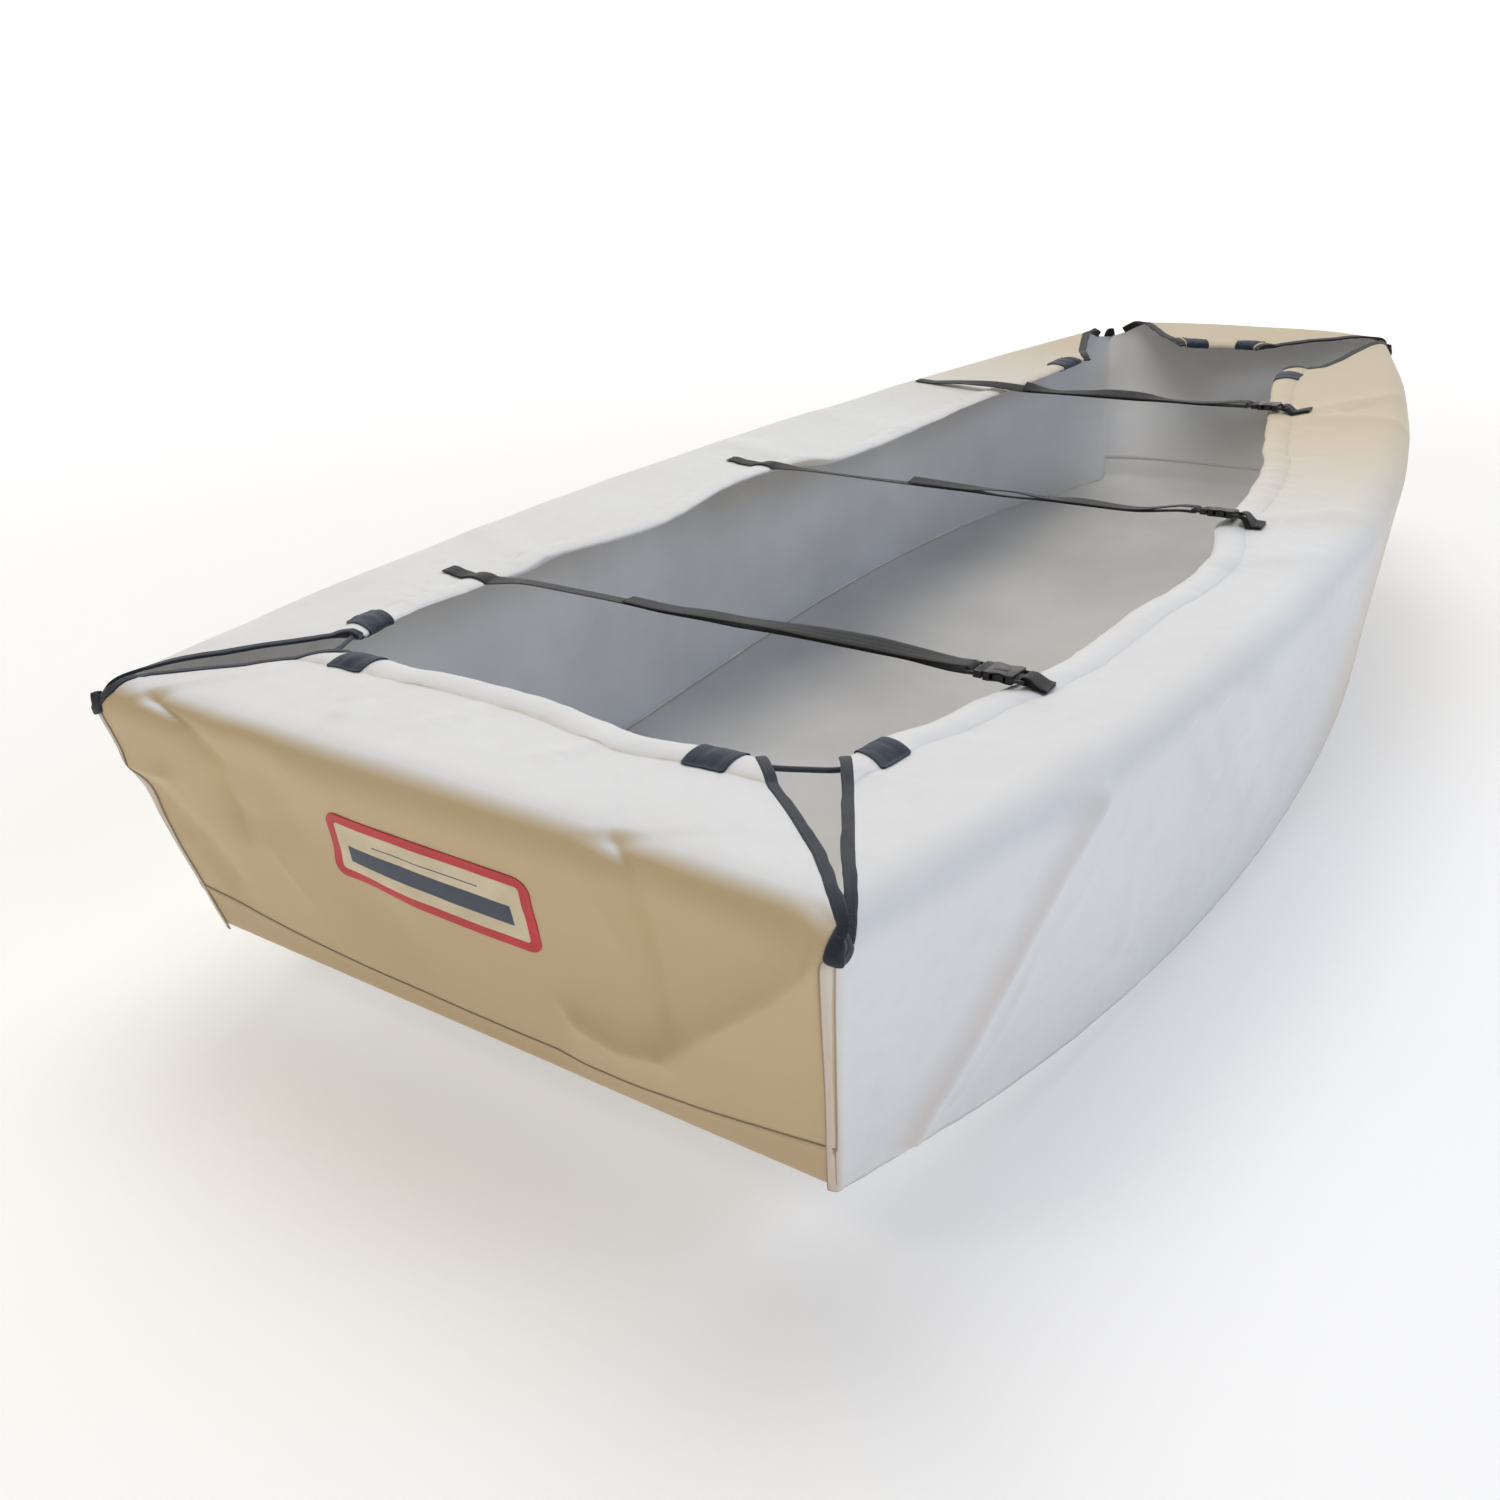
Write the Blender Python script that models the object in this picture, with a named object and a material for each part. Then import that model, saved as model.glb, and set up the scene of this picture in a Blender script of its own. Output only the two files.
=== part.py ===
"""Fitted hull cover for a small pram dinghy: a cloth tub that is pulled up over the hull.

Five cloth panels wrap the bottom, the sides and both transoms, and turn in over the gunwale as a
flange that ends in a gathered hem. Each corner has a V notch bound in tape, each casing end a
reinforcement patch, and three buckled webbing straps cross the opening.

Lengths are metres. x runs from the stern to the bow, y to port and z up. The origin lies in the
plane of the gunwale amidships, where the hull carries the cover.
"""

import math

import bmesh
import bpy
from mathutils import Vector

# ---------------------------------------------------------------- driving dimensions
LENGTH = 2.36
GUNWALE_LEVEL = 0.372       # height of the origin above the base line
CLOTH = 0.002
SEAM = 0.0005               # gap between the edges of two panels
CORNER_INSET = 0.0034       # a transom or bottom edge stops inside the side panel's thickness
EDGE_ROUND = 0.050          # run of the cloth's turn over the gunwale
HEM_DROP = 0.010            # the hem hangs this much below the gunwale
STERN_RAKE = 0.069          # the foot of the stern transom lies this far forward of its top
BOW_RAKE = 0.109
BOW_CAMBER = 0.022
KNUCKLE = 0.010             # radius of the turn from the bottom to a transom
KNUCKLE_EASE = 0.0008       # the bottom's edges draw in by this at that turn
BOTTOM_SAG = 0.006
WEBBING_WIDTH = 0.025
WEBBING = 0.0018
LIFT = 0.0010               # clearance of webbing above the cloth that it lies on

# Table of offsets of the outside of the cover.
OFFSETS_COLUMNS = ("station", "gunwale_half_beam", "gunwale_height", "chine_half_beam", "chine_height")
OFFSETS = (
    (0.000, 0.440, 0.394, 0.395, 0.087),
    (0.125, 0.490, 0.386, 0.426, 0.023),
    (0.250, 0.522, 0.380, 0.456, -0.008),
    (0.375, 0.536, 0.377, 0.477, -0.014),
    (0.500, 0.529, 0.377, 0.483, -0.002),
    (0.625, 0.500, 0.379, 0.469, 0.022),
    (0.750, 0.451, 0.386, 0.428, 0.049),
    (0.875, 0.381, 0.396, 0.353, 0.074),
    (1.000, 0.290, 0.410, 0.240, 0.088),
)

# Inner edge of the gathered hem: (place along the panel, distance from the middle or the stern).
HEM_LINES = {
    "port": (
        (0.23, 0.301), (0.33, 0.325), (0.46, 0.324), (0.53, 0.319), (0.60, 0.330), (0.70, 0.306),
        (0.80, 0.302), (0.93, 0.327), (1.03, 0.334), (1.11, 0.317), (1.17, 0.270), (1.37, 0.256),
        (1.60, 0.254), (1.75, 0.238), (1.88, 0.221), (2.03, 0.209),
    ),
    "starboard": (
        (0.24, 0.295), (0.30, 0.302), (0.36, 0.320), (0.45, 0.338), (0.53, 0.360), (0.61, 0.368),
        (0.72, 0.369), (0.83, 0.382), (0.89, 0.386), (0.95, 0.383), (1.02, 0.368), (1.09, 0.347),
        (1.17, 0.346), (1.31, 0.331), (1.41, 0.315), (1.50, 0.290), (1.67, 0.247), (1.79, 0.215),
        (2.00, 0.168), (2.09, 0.165),
    ),
    "stern": (
        (-0.27, 0.202), (-0.19, 0.198), (-0.13, 0.187), (-0.08, 0.196), (-0.02, 0.205), (0.05, 0.211),
        (0.11, 0.208), (0.17, 0.201), (0.21, 0.202), (0.28, 0.196),
    ),
    "bow": (
        (-0.15, 0.165), (-0.11, 0.180), (-0.06, 0.173), (0.00, 0.181), (0.04, 0.190), (0.09, 0.180),
        (0.15, 0.162),
    ),
}

# Cross section of a flange at its hem: the puffed casing, from its inner edge outward.
HEM_COLUMNS = ("distance", "rise", "depth")
HEM_ROLL = (
    (0.000, 0.0010, 0.0030),
    (0.006, 0.0044, 0.0052),
    (0.020, 0.0058, 0.0060),
    (0.033, 0.0046, 0.0054),
    (0.040, 0.0003, 0.0023),
)
FLANGE_STEPS = (0.35, 0.70, 1.0)
TURN_STEPS = (0.25, 0.50, 0.77, 1.0)
NOTCH_TIP_STEP = 0.77
SIDE_WALL_STEPS = (0.17, 0.34, 0.50, 0.67, 0.84, 1.0)
STERN_WALL_DEPTHS = (0.068, 0.112, 0.158, 0.200, 0.236)
BOW_WALL_DEPTHS = (0.115, 0.180)

# The two cloth edges of each corner notch. depth is the distance past the gunwale, negative on
# the flange; side_start is how far the side panel's cloth stays from the end of the cover, and
# end_half the half width of the transom panel's cloth. The notch closes at the last depth.
NOTCH_COLUMNS = ("depth", "side_start", "end_half")
NOTCHES = {
    ("starboard", "stern"): (
        (-0.200, 0.270, 0.2360), (-0.187, 0.254, 0.2490), (-0.160, 0.221, 0.2765),
        (-0.119, 0.168, 0.3245), (-0.077, 0.113, 0.3705), (-0.050, 0.0785, 0.3945),
        (-0.025, 0.052, 0.4135), (0.000, 0.031, 0.4290), (0.027, 0.0155, 0.4260),
    ),
    ("port", "stern"): (
        (-0.200, 0.2590, 0.2590), (-0.186, 0.2560, 0.2668), (-0.176, 0.2548, 0.2845),
        (-0.160, 0.2530, 0.2998), (-0.149, 0.2450, 0.3115), (-0.132, 0.2265, 0.3235),
        (-0.117, 0.203, 0.3310), (-0.085, 0.158, 0.3600), (-0.050, 0.106, 0.3910),
        (-0.025, 0.064, 0.4010), (0.000, 0.036, 0.4060), (0.027, 0.0160, 0.4230),
    ),
    ("starboard", "bow"): (
        (-0.200, 0.292, 0.0700), (-0.180, 0.284, 0.0860), (-0.142, 0.262, 0.1200),
        (-0.109, 0.203, 0.1510), (-0.082, 0.145, 0.1880), (-0.050, 0.084, 0.2220),
        (-0.025, 0.052, 0.2510), (0.000, 0.029, 0.2680), (0.027, 0.0130, 0.2760),
    ),
    ("port", "bow"): (
        (-0.200, 0.350, 0.0640), (-0.171, 0.325, 0.0860), (-0.154, 0.304, 0.1010),
        (-0.120, 0.258, 0.1290), (-0.080, 0.196, 0.1570), (-0.050, 0.150, 0.1800),
        (-0.025, 0.112, 0.1980), (0.000, 0.076, 0.2160), (0.027, 0.0380, 0.2480),
    ),
}
# Rows over which the two legs of a binding are joined above its tip.
JOINED_ROWS = {
    ("starboard", "stern"): 3, ("port", "stern"): 2, ("starboard", "bow"): 1, ("port", "bow"): 0,
}
TAPE_WIDTHS = {"stern": 0.0095, "bow": 0.014}
SEWN_GAP = 0.0006           # room between two pieces that are sewn together
TAPE_GAPS = {"stern": 0.0008, "bow": 0.0013}
TAPE_PROUD = 0.0007         # the tape stands this much proud of the cloth, above and below
TIP_DEPTH = 0.038
PATCH_EDGES_COLUMNS = ("depth", "port_edge", "starboard_edge")
PATCH_EDGES = ((0.068, 0.109, -0.135), (0.158, 0.140, -0.125))      # the sewn patch on the stern
# Where the patches round the casings' ends lie: on the side panel, from the end of the cover, and
# on the transom panel, from its middle. Each has its edge nearer the notch and its other edge, at
# the hem and then at the casing's seam.
PATCH_PLACES = {
    ("starboard", "stern"): (((0.262, 0.299), (0.243, 0.2855)), ((0.229, 0.1865), (0.2295, 0.187))),
    ("port", "stern"): (((0.263, 0.306), (0.268, 0.316)), ((0.256, 0.215), (0.257, 0.213))),
    ("starboard", "bow"): (((0.326, 0.392), (0.324, 0.375)), ((0.071, 0.036), (0.083, 0.032))),
    ("port", "bow"): (((0.348, 0.418), (0.344, 0.410)), ((0.054, 0.012), (0.080, 0.033))),
}
PATCH_SETTLE = 0.12         # beyond a patch the columns come back to their even places
PATCH_CLOTH = 0.0012
PATCH_GAPS = {"stern": 0.0009, "bow": 0.0011}
ELASTIC = 0.0052            # thickness of the elastic across a stern notch
ELASTIC_SHORT = {"port": 0.0028, "starboard": 0.0009}     # it stops this short of the tapes

# Soft folds: ridges above the even surface, in (along, down) places where along is x on a side
# and y on a transom, and down is the distance below the gunwale, negative on the flange.
FOLD_COLUMNS = ("along_0", "down_0", "along_1", "down_1", "half_width", "height")
FOLDS = {
    "starboard": (
        (0.110, 0.290, 0.300, 0.070, 0.022, 0.006),
        (0.170, 0.300, 0.350, 0.120, 0.024, 0.006),
        (0.250, 0.340, 0.400, 0.200, 0.026, 0.005),
        (0.620, 0.080, 0.640, 0.240, 0.040, -0.004),
        (0.760, 0.080, 0.780, 0.220, 0.045, 0.004),
        (1.760, -0.160, 1.900, -0.030, 0.030, 0.005),
        (1.720, -0.160, 1.720, -0.030, 0.030, 0.004),
        (1.120, -0.160, 1.190, -0.060, 0.030, 0.005),
        (0.940, -0.140, 1.000, -0.060, 0.030, 0.004),
        (0.480, -0.185, 0.480, -0.150, 0.032, -0.004),
        (1.105, -0.200, 1.105, -0.165, 0.034, -0.004),
        (1.750, -0.240, 1.750, -0.205, 0.034, -0.003),
    ),
    "port": (
        (0.160, 0.280, 0.330, 0.080, 0.024, 0.005),
        (0.560, -0.180, 0.600, -0.060, 0.030, 0.004),
        (1.140, -0.240, 1.180, -0.080, 0.030, 0.006),
        (1.400, -0.220, 1.430, -0.070, 0.035, 0.004),
        (0.900, 0.080, 0.920, 0.240, 0.045, 0.004),
        (1.500, 0.080, 1.480, 0.240, 0.045, -0.004),
    ),
    "stern": (
        (-0.420, 0.060, -0.240, 0.228, 0.030, 0.009),
        (-0.260, 0.050, -0.240, 0.228, 0.020, 0.005),
        (-0.330, 0.230, -0.180, 0.250, 0.040, -0.006),
        (0.330, 0.020, 0.270, 0.090, 0.025, 0.007),
        (0.200, 0.060, 0.080, 0.200, 0.060, -0.005),
        (0.400, 0.080, 0.330, 0.200, 0.030, -0.005),
    ),
    "bow": (
        (-0.150, 0.030, -0.080, 0.180, 0.035, 0.005),
        (0.140, 0.050, 0.060, 0.200, 0.035, 0.005),
    ),
}

# Where each strap crosses, how far out from the hem each end is sewn, where its buckle starts and how
# that is tilted about the webbing's run, and where the free tail ends.
STRAP_COLUMNS = (
    "name", "x_port", "x_starboard", "port_sewn", "starboard_sewn", "buckle_y", "buckle_turn", "tail_end",
)
STRAPS = (
    ("aft", 0.468, 0.480, 0.072, 0.038, -0.299, -3.0, 0.118),
    ("middle", 1.095, 1.102, 0.088, 0.058, -0.315, -9.0, 0.095),
    ("forward", 1.722, 1.746, 0.173, 0.068, -0.191, 0.0, 0.200),
)

# The free run of each strap between its port hem and its buckle, and the gap between it and the
# tail that lies over it. height is above the gunwale plane, a turn is about the webbing's own run.
SPAN_COLUMNS = ("y", "height", "turn", "tail_gap", "tail_turn")
SPANS = {
    "aft": (
        (0.270, 0.0090, -6.0, 0.0, 0.0), (0.200, 0.0095, -8.0, 0.0, 0.0),
        (0.118, 0.0088, -8.0, 0.0032, -2.0), (0.060, 0.0075, -5.0, 0.0030, -2.0),
        (0.010, 0.0080, -5.0, 0.0045, 0.0), (-0.035, 0.0070, -8.0, 0.0060, -2.0),
        (-0.085, 0.0100, 0.0, 0.0045, 2.0), (-0.130, 0.0122, 10.0, 0.0028, 11.0),
        (-0.190, 0.0125, 14.0, 0.0026, 14.0), (-0.235, 0.0110, 8.0, 0.0026, 8.0),
    ),
    "middle": (
        (0.270, -0.0008, -8.0, 0.0, 0.0), (0.180, -0.0014, -10.0, 0.0, 0.0),
        (0.095, -0.0012, -6.0, 0.0055, 10.0), (0.040, -0.0004, -2.0, 0.0040, 6.0),
        (-0.005, -0.0008, -6.0, 0.0040, 0.0), (-0.035, -0.0024, -12.0, 0.0070, -11.0),
        (-0.070, -0.0024, -12.0, 0.0075, -12.0), (-0.110, -0.0004, -8.0, 0.0030, -7.0),
        (-0.160, 0.0012, 0.0, 0.0028, 3.0), (-0.240, 0.0010, -6.0, 0.0026, -5.0),
    ),
    "forward": (
        (0.380, 0.0140, 2.0, 0.0, 0.0), (0.330, 0.0145, 6.0, 0.0, 0.0), (0.260, 0.0160, 14.0, 0.0, 0.0),
        (0.200, 0.0120, 16.0, 0.0045, 30.0), (0.150, 0.0088, 0.0, 0.0026, 3.0),
        (0.090, 0.0105, 9.0, 0.0026, 9.0), (0.045, 0.0123, 20.0, 0.0028, 20.0),
        (-0.010, 0.0118, 18.0, 0.0028, 18.0), (-0.060, 0.0085, -4.0, 0.0026, -4.0),
        (-0.120, 0.0085, -2.0, 0.0026, -2.0),
    ),
}

# Side release buckle for the webbing.
BUCKLE_WIDTH = 0.033
BUCKLE_THICK = 0.009
BUCKLE_FRAME = 0.0036       # thickness of the frames that hold the webbing
PRONG_BODY = 0.0095
BAR = 0.0036
SLOT = 0.0080
SOCKET_BODY = 0.031
SLOT_SIDE = 0.0014          # room beside the webbing in a slot

SEWN_TAB = 0.020            # length of a strap's end that is sewn down flat
STRAP_BERTH = WEBBING_WIDTH / 2 + 0.002

# Columns and rows of the panels' grids.
SIDES = {"port": 1, "starboard": -1}
STATIONS = {"stern": 0.0, "bow": 1.0}
INWARD = {"stern": 1, "bow": -1}
STERN_BLEND = 0.45          # the columns shift back to even places within this length
BOW_BLEND = 0.58
COLUMN_RUN = 0.066
BOTTOM_RUNS = 26
EVEN_SHARES = (1.0, 0.80, 0.57, 0.34, 0.11)
TURN_ROW = len(HEM_ROLL) + len(FLANGE_STEPS)
TIP_ROW = TURN_ROW + TURN_STEPS.index(NOTCH_TIP_STEP)
LAST_TURN_ROW = TURN_ROW + len(TURN_STEPS) - 1
PATCH_ROWS = (12, 13, 14)   # rows and columns of the stern panel under the sewn patch
PATCH_COLUMNS = (3, 4, 5, 6)

MATERIALS = {
    "cloth": ((0.74, 0.74, 0.73, 1.0), 0.55, 0.0),
    "tape": ((0.035, 0.04, 0.05, 1.0), 0.7, 0.0),
    "webbing": ((0.06, 0.06, 0.06, 1.0), 0.75, 0.0),
    "moulded": ((0.02, 0.02, 0.022, 1.0), 0.4, 0.0),
    "print": ((0.6, 0.1, 0.09, 1.0), 0.5, 0.0),
}


# ---------------------------------------------------------------- curves and surfaces
def smooth(table, place, column=1):
    """Value at a place of the smooth curve through a table whose first column is the place."""
    last = len(table) - 1
    k = 0
    while k < last - 1 and place > table[k + 1][0]:
        k += 1

    def slope(i):
        low, high = max(i - 1, 0), min(i + 1, last)
        return (table[high][column] - table[low][column]) / (table[high][0] - table[low][0])

    y0, y1 = table[k][column], table[k + 1][column]
    run = table[k + 1][0] - table[k][0]
    t = min(max((place - table[k][0]) / run, -0.3), 1.3)
    return (
        (2 * t**3 - 3 * t**2 + 1) * y0
        + (t**3 - 2 * t**2 + t) * run * slope(k)
        + (3 * t**2 - 2 * t**3) * y1
        + (t**3 - t**2) * run * slope(k + 1)
    )


def straight(table, place, column):
    """Value at a place on the straight lines between the rows of a table."""
    k = 0
    while k < len(table) - 2 and place > table[k + 1][0]:
        k += 1
    t = (place - table[k][0]) / (table[k + 1][0] - table[k][0])
    return table[k][column] + (table[k + 1][column] - table[k][column]) * t


def gunwale(station, side=1):
    return Vector((LENGTH * station, side * smooth(OFFSETS, station, 1), smooth(OFFSETS, station, 2)))


def chine(station, side=1):
    run = LENGTH - STERN_RAKE - BOW_RAKE
    return Vector((STERN_RAKE + run * station, side * smooth(OFFSETS, station, 3), smooth(OFFSETS, station, 4)))


def side_frame(side_name, x):
    """Hem, gunwale and foot of a side section whose flange lies at x."""
    side = SIDES[side_name]
    edge = gunwale(x / LENGTH, side)
    hem = Vector((x, side * smooth(HEM_LINES[side_name], x), edge.z - HEM_DROP))
    return hem, edge, chine(x / LENGTH, side)


def transom_frame(end_name, y):
    """Hem, top edge and foot of a transom section at a distance y from the middle."""
    edge, foot = gunwale(STATIONS[end_name]), chine(STATIONS[end_name])
    share = y / edge.y
    camber = BOW_CAMBER * (1 - share * share) if end_name == "bow" else 0.0
    top = Vector((edge.x + camber, y, edge.z))
    reach = smooth(HEM_LINES[end_name], y)
    hem = Vector((edge.x + reach * INWARD[end_name], y, edge.z - HEM_DROP))
    return hem, top, Vector((foot.x + camber / 2, y, foot.z))


def section_point(hem, edge, foot, depth):
    """Point of a section that runs from the hem to the edge, turns over it and falls to the foot.

    depth is the distance past the edge: negative on the flange, positive on the wall.
    """
    inward = (hem - edge).normalized()
    downward = (foot - edge).normalized()
    if depth <= -EDGE_ROUND:
        return edge - inward * depth
    if depth >= EDGE_ROUND:
        return edge + downward * depth
    t = (depth / EDGE_ROUND + 1) / 2
    return edge + inward * EDGE_ROUND * (1 - t) ** 2 + downward * EDGE_ROUND * t**2


def fold_height(panel, along, down):
    height = 0.0
    for along_0, down_0, along_1, down_1, half_width, rise in FOLDS[panel]:
        run = (along_1 - along_0, down_1 - down_0)
        t = ((along - along_0) * run[0] + (down - down_0) * run[1]) / (run[0] ** 2 + run[1] ** 2)
        t = min(max(t, 0.0), 1.0)
        off = math.hypot(along - along_0 - t * run[0], down - down_0 - t * run[1])
        height += rise * math.exp(-((off / half_width) ** 2))
    return height


def folded_point(panel, frame, along, room, depth):
    """Point of a panel with its soft folds, which die out towards its seams."""
    hem, edge, foot = frame
    point = section_point(hem, edge, foot, depth)
    out = Vector((0, 0, 1))
    if depth > 0:
        out = Vector((0, SIDES[panel], 0)) if panel in SIDES else Vector((-INWARD[panel], 0, 0))
    fade = min(1.0, room / 0.08) * min(1.0, ((foot - edge).length - depth) / 0.05)
    return point + out * fold_height(panel, along, depth) * max(0.0, fade)


def side_point(side_name, x, depth):
    return folded_point(side_name, side_frame(side_name, x), x, min(x, LENGTH - x), depth)


def transom_point(end_name, y, depth):
    room = gunwale(STATIONS[end_name]).y - abs(y)
    return folded_point(end_name, transom_frame(end_name, y), y, room, depth)


# ---------------------------------------------------------------- meshes
def make_object(name, verts, faces, material):
    mesh = bpy.data.meshes.new(name)
    origin = Vector((LENGTH / 2, 0.0, GUNWALE_LEVEL))
    mesh.from_pydata([tuple(v - origin) for v in verts], [], faces)
    bm = bmesh.new()
    bm.from_mesh(mesh)
    if bm.calc_volume(signed=True) < 0:
        bmesh.ops.reverse_faces(bm, faces=bm.faces)
    bm.to_mesh(mesh)
    bm.free()
    mesh.materials.append(bpy.data.materials[material])
    mesh.shade_smooth()
    mesh.set_sharp_from_angle(angle=math.radians(40))
    obj = bpy.data.objects.new(name, mesh)
    bpy.context.scene.collection.objects.link(obj)
    return obj


def grid_normals(grid, outward):
    """Unit normals of a grid of points, on the side that outward points to in the lower rows."""
    rows, columns = len(grid), len(grid[0])
    normals = []
    for i in range(rows):
        line = []
        for j in range(columns):
            down = grid[min(i + 1, rows - 1)][j] - grid[max(i - 1, 0)][j]
            across = grid[i][min(j + 1, columns - 1)] - grid[i][max(j - 1, 0)]
            line.append(down.cross(across).normalized())
        normals.append(line)
    if normals[rows - 4][columns // 2].dot(outward) < 0:
        normals = [[-n for n in line] for line in normals]
    return normals


def shell(name, upper, lower, material):
    """Closed solid between two grids of points with the same rows and columns."""
    rows, columns = len(upper), len(upper[0])
    verts = [p for line in upper for p in line] + [p for line in lower for p in line]
    below = rows * columns
    faces = []
    for i in range(rows - 1):
        for j in range(columns - 1):
            a = i * columns + j
            b, c, d = a + 1, a + columns + 1, a + columns
            faces += [(a, b, c), (a, c, d), (c + below, b + below, a + below), (d + below, c + below, a + below)]
    rim = list(range(columns))
    rim += [i * columns + columns - 1 for i in range(1, rows)]
    rim += [(rows - 1) * columns + j for j in range(columns - 2, -1, -1)]
    rim += [i * columns for i in range(rows - 2, 0, -1)]
    faces += [(b, a, a + below, b + below) for a, b in zip(rim, rim[1:] + rim[:1])]
    return make_object(name, verts, faces, material)


def plate(name, points, normals, thicknesses, tops, material):
    """Closed solid on faces between points, each moved up and down its normal by two distances."""
    verts = []
    for point, normal, (rise, depth) in zip(points, normals, thicknesses):
        verts += [point + normal * rise, point - normal * depth]
    tops = [tuple(2 * k for k in face) for face in tops]
    faces = list(tops) + [tuple(v + 1 for v in reversed(face)) for face in tops]
    outline = []
    for face in tops:
        for a, b in zip(face, face[1:] + face[:1]):
            if (b, a) in outline:
                outline.remove((b, a))
            else:
                outline.append((a, b))
    faces += [(b, a, a + 1, b + 1) for a, b in outline]
    return make_object(name, verts, faces, material)


class Panel:
    """A cloth panel as a grid of points on its outside, from its hem row down to its foot row."""

    def __init__(self, name, grid, outward, hemmed=True):
        self.name = name
        self.grid = grid
        self.normals = grid_normals(grid, outward)
        rolls = [(rise, depth) for _, rise, depth in HEM_ROLL] if hemmed else []
        self.rolls = rolls + [(0.0, CLOTH)] * (len(grid) - len(rolls))
        self.upper = self.layer([rise for rise, _ in self.rolls])
        self.lower = self.layer([-depth for _, depth in self.rolls])

    def layer(self, heights):
        return [
            [p + n * h for p, n in zip(points, normals)]
            for points, normals, h in zip(self.grid, self.normals, heights)
        ]

    def build(self):
        return shell("panel_" + self.name, self.upper, self.lower, "cloth")


def row_depth(row, reach):
    """Distance past the gunwale of a row on the flange or the turn, for the reach of its flange."""
    casing = HEM_ROLL[-1][0]
    if row < len(HEM_ROLL):
        return HEM_ROLL[row][0] - reach
    row -= len(HEM_ROLL)
    if row < len(FLANGE_STEPS):
        inward = reach - casing
        return -(inward + (EDGE_ROUND - inward) * FLANGE_STEPS[row])
    return EDGE_ROUND * (2 * TURN_STEPS[row - len(FLANGE_STEPS)] - 1)


# ---------------------------------------------------------------- side panels
def shifted(place, stern_start, bow_start):
    """Moves a column's place so that the first and the last column lie on the notch edges."""
    moved = place + stern_start * max(0.0, 1 - place / STERN_BLEND)
    return moved - bow_start * max(0.0, 1 - (LENGTH - place) / BOW_BLEND)


def notch_start(side_name, end_name, row):
    """How far a row of the side panel stays from that end of the cover."""
    if row > TIP_ROW:
        return 0.0
    start = 0.1
    for _ in range(20):
        hem, edge, _ = side_frame(side_name, start if end_name == "stern" else LENGTH - start)
        start = straight(NOTCHES[(side_name, end_name)], row_depth(row, (hem - edge).length), 1)
    return start


def patch_edges(side_name, end_name, of_side, row):
    """Places of a casing patch's two edges along its panel, in a row of the hem."""
    at_hem, at_seam = PATCH_PLACES[(side_name, end_name)][0 if of_side else 1]
    share = HEM_ROLL[min(row, len(HEM_ROLL) - 1)][0] / HEM_ROLL[-1][0]
    return [a + (b - a) * share for a, b in zip(at_hem, at_seam)]


def side_columns(side_name):
    """Places of a side panel's columns, with one at each end of its patches and beside its straps."""
    stern_start = notch_start(side_name, "stern", 0)
    bow_start = notch_start(side_name, "bow", 0)
    marks = [0.0]
    for edge in patch_edges(side_name, "stern", True, 0):
        marks.append((edge - stern_start) / (1 - stern_start / STERN_BLEND))
    for strap in STRAPS:
        x = strap[1] if side_name == "port" else strap[2]
        marks += [x - STRAP_BERTH, x + STRAP_BERTH]
    for edge in reversed(patch_edges(side_name, "bow", True, 0)):
        marks.append(LENGTH - (edge - bow_start) / (1 - bow_start / BOW_BLEND))
    marks.append(LENGTH)
    columns = []
    for k, (a, b) in enumerate(zip(marks, marks[1:])):
        at_patch = min(k, len(marks) - 2 - k) < 2
        pieces = 1 if at_patch else max(1, round((b - a) / COLUMN_RUN))
        columns += [a + (b - a) * k / pieces for k in range(pieces)]
    return columns + [LENGTH]


def patch_moves(side_name, row, columns, places):
    """How far a row's places move so that its patches keep theirs, as (column, move) rows."""
    hold = min(1.0, max(0.0, (TURN_ROW - row) / (TURN_ROW - len(HEM_ROLL) + 1)))
    last = len(columns) - 1
    stern = zip((1, 2), patch_edges(side_name, "stern", True, row))
    bow = zip((last - 2, last - 1), [LENGTH - e for e in reversed(patch_edges(side_name, "bow", True, row))])
    moves = [(0.0, 0.0)] + [(columns[k], (edge - places[k]) * hold) for k, edge in stern]
    moves += [(columns[2] + PATCH_SETTLE, 0.0), (columns[last - 2] - PATCH_SETTLE, 0.0)]
    return moves + [(columns[k], (edge - places[k]) * hold) for k, edge in bow] + [(LENGTH, 0.0)]


def side_panel(side_name):
    columns = side_columns(side_name)
    grid = []
    for row in range(len(HEM_ROLL) + len(FLANGE_STEPS) + len(TURN_STEPS) + len(SIDE_WALL_STEPS)):
        stern_start = notch_start(side_name, "stern", row)
        bow_start = notch_start(side_name, "bow", row)
        line = []
        places = [shifted(c, stern_start, bow_start) for c in columns]
        moves = patch_moves(side_name, row, columns, places)
        for x in (place + straight(moves, c, 1) for c, place in zip(columns, places)):
            hem, edge, foot = side_frame(side_name, x)
            if row < LAST_TURN_ROW + 1:
                depth = row_depth(row, (hem - edge).length)
            else:
                step = SIDE_WALL_STEPS[row - LAST_TURN_ROW - 1]
                depth = EDGE_ROUND + ((foot - edge).length - EDGE_ROUND) * step
            line.append(side_point(side_name, x, depth))
        grid.append(line)
    return Panel(side_name, grid, Vector((0, SIDES[side_name], 0)))


# ---------------------------------------------------------------- transom panels
def seam_rise(end_name, share):
    """Height of the seam above the foot of a transom, at a share of the half width."""
    return 0.030 + 0.028 * share * share if end_name == "stern" else 0.045


def wall_half(end_name, depth):
    """Half width of a transom below its gunwale corner."""
    top, bottom = gunwale(STATIONS[end_name]), chine(STATIONS[end_name])
    return top.y + (bottom.y - top.y) * depth / (bottom - top).length - CORNER_INSET


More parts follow.
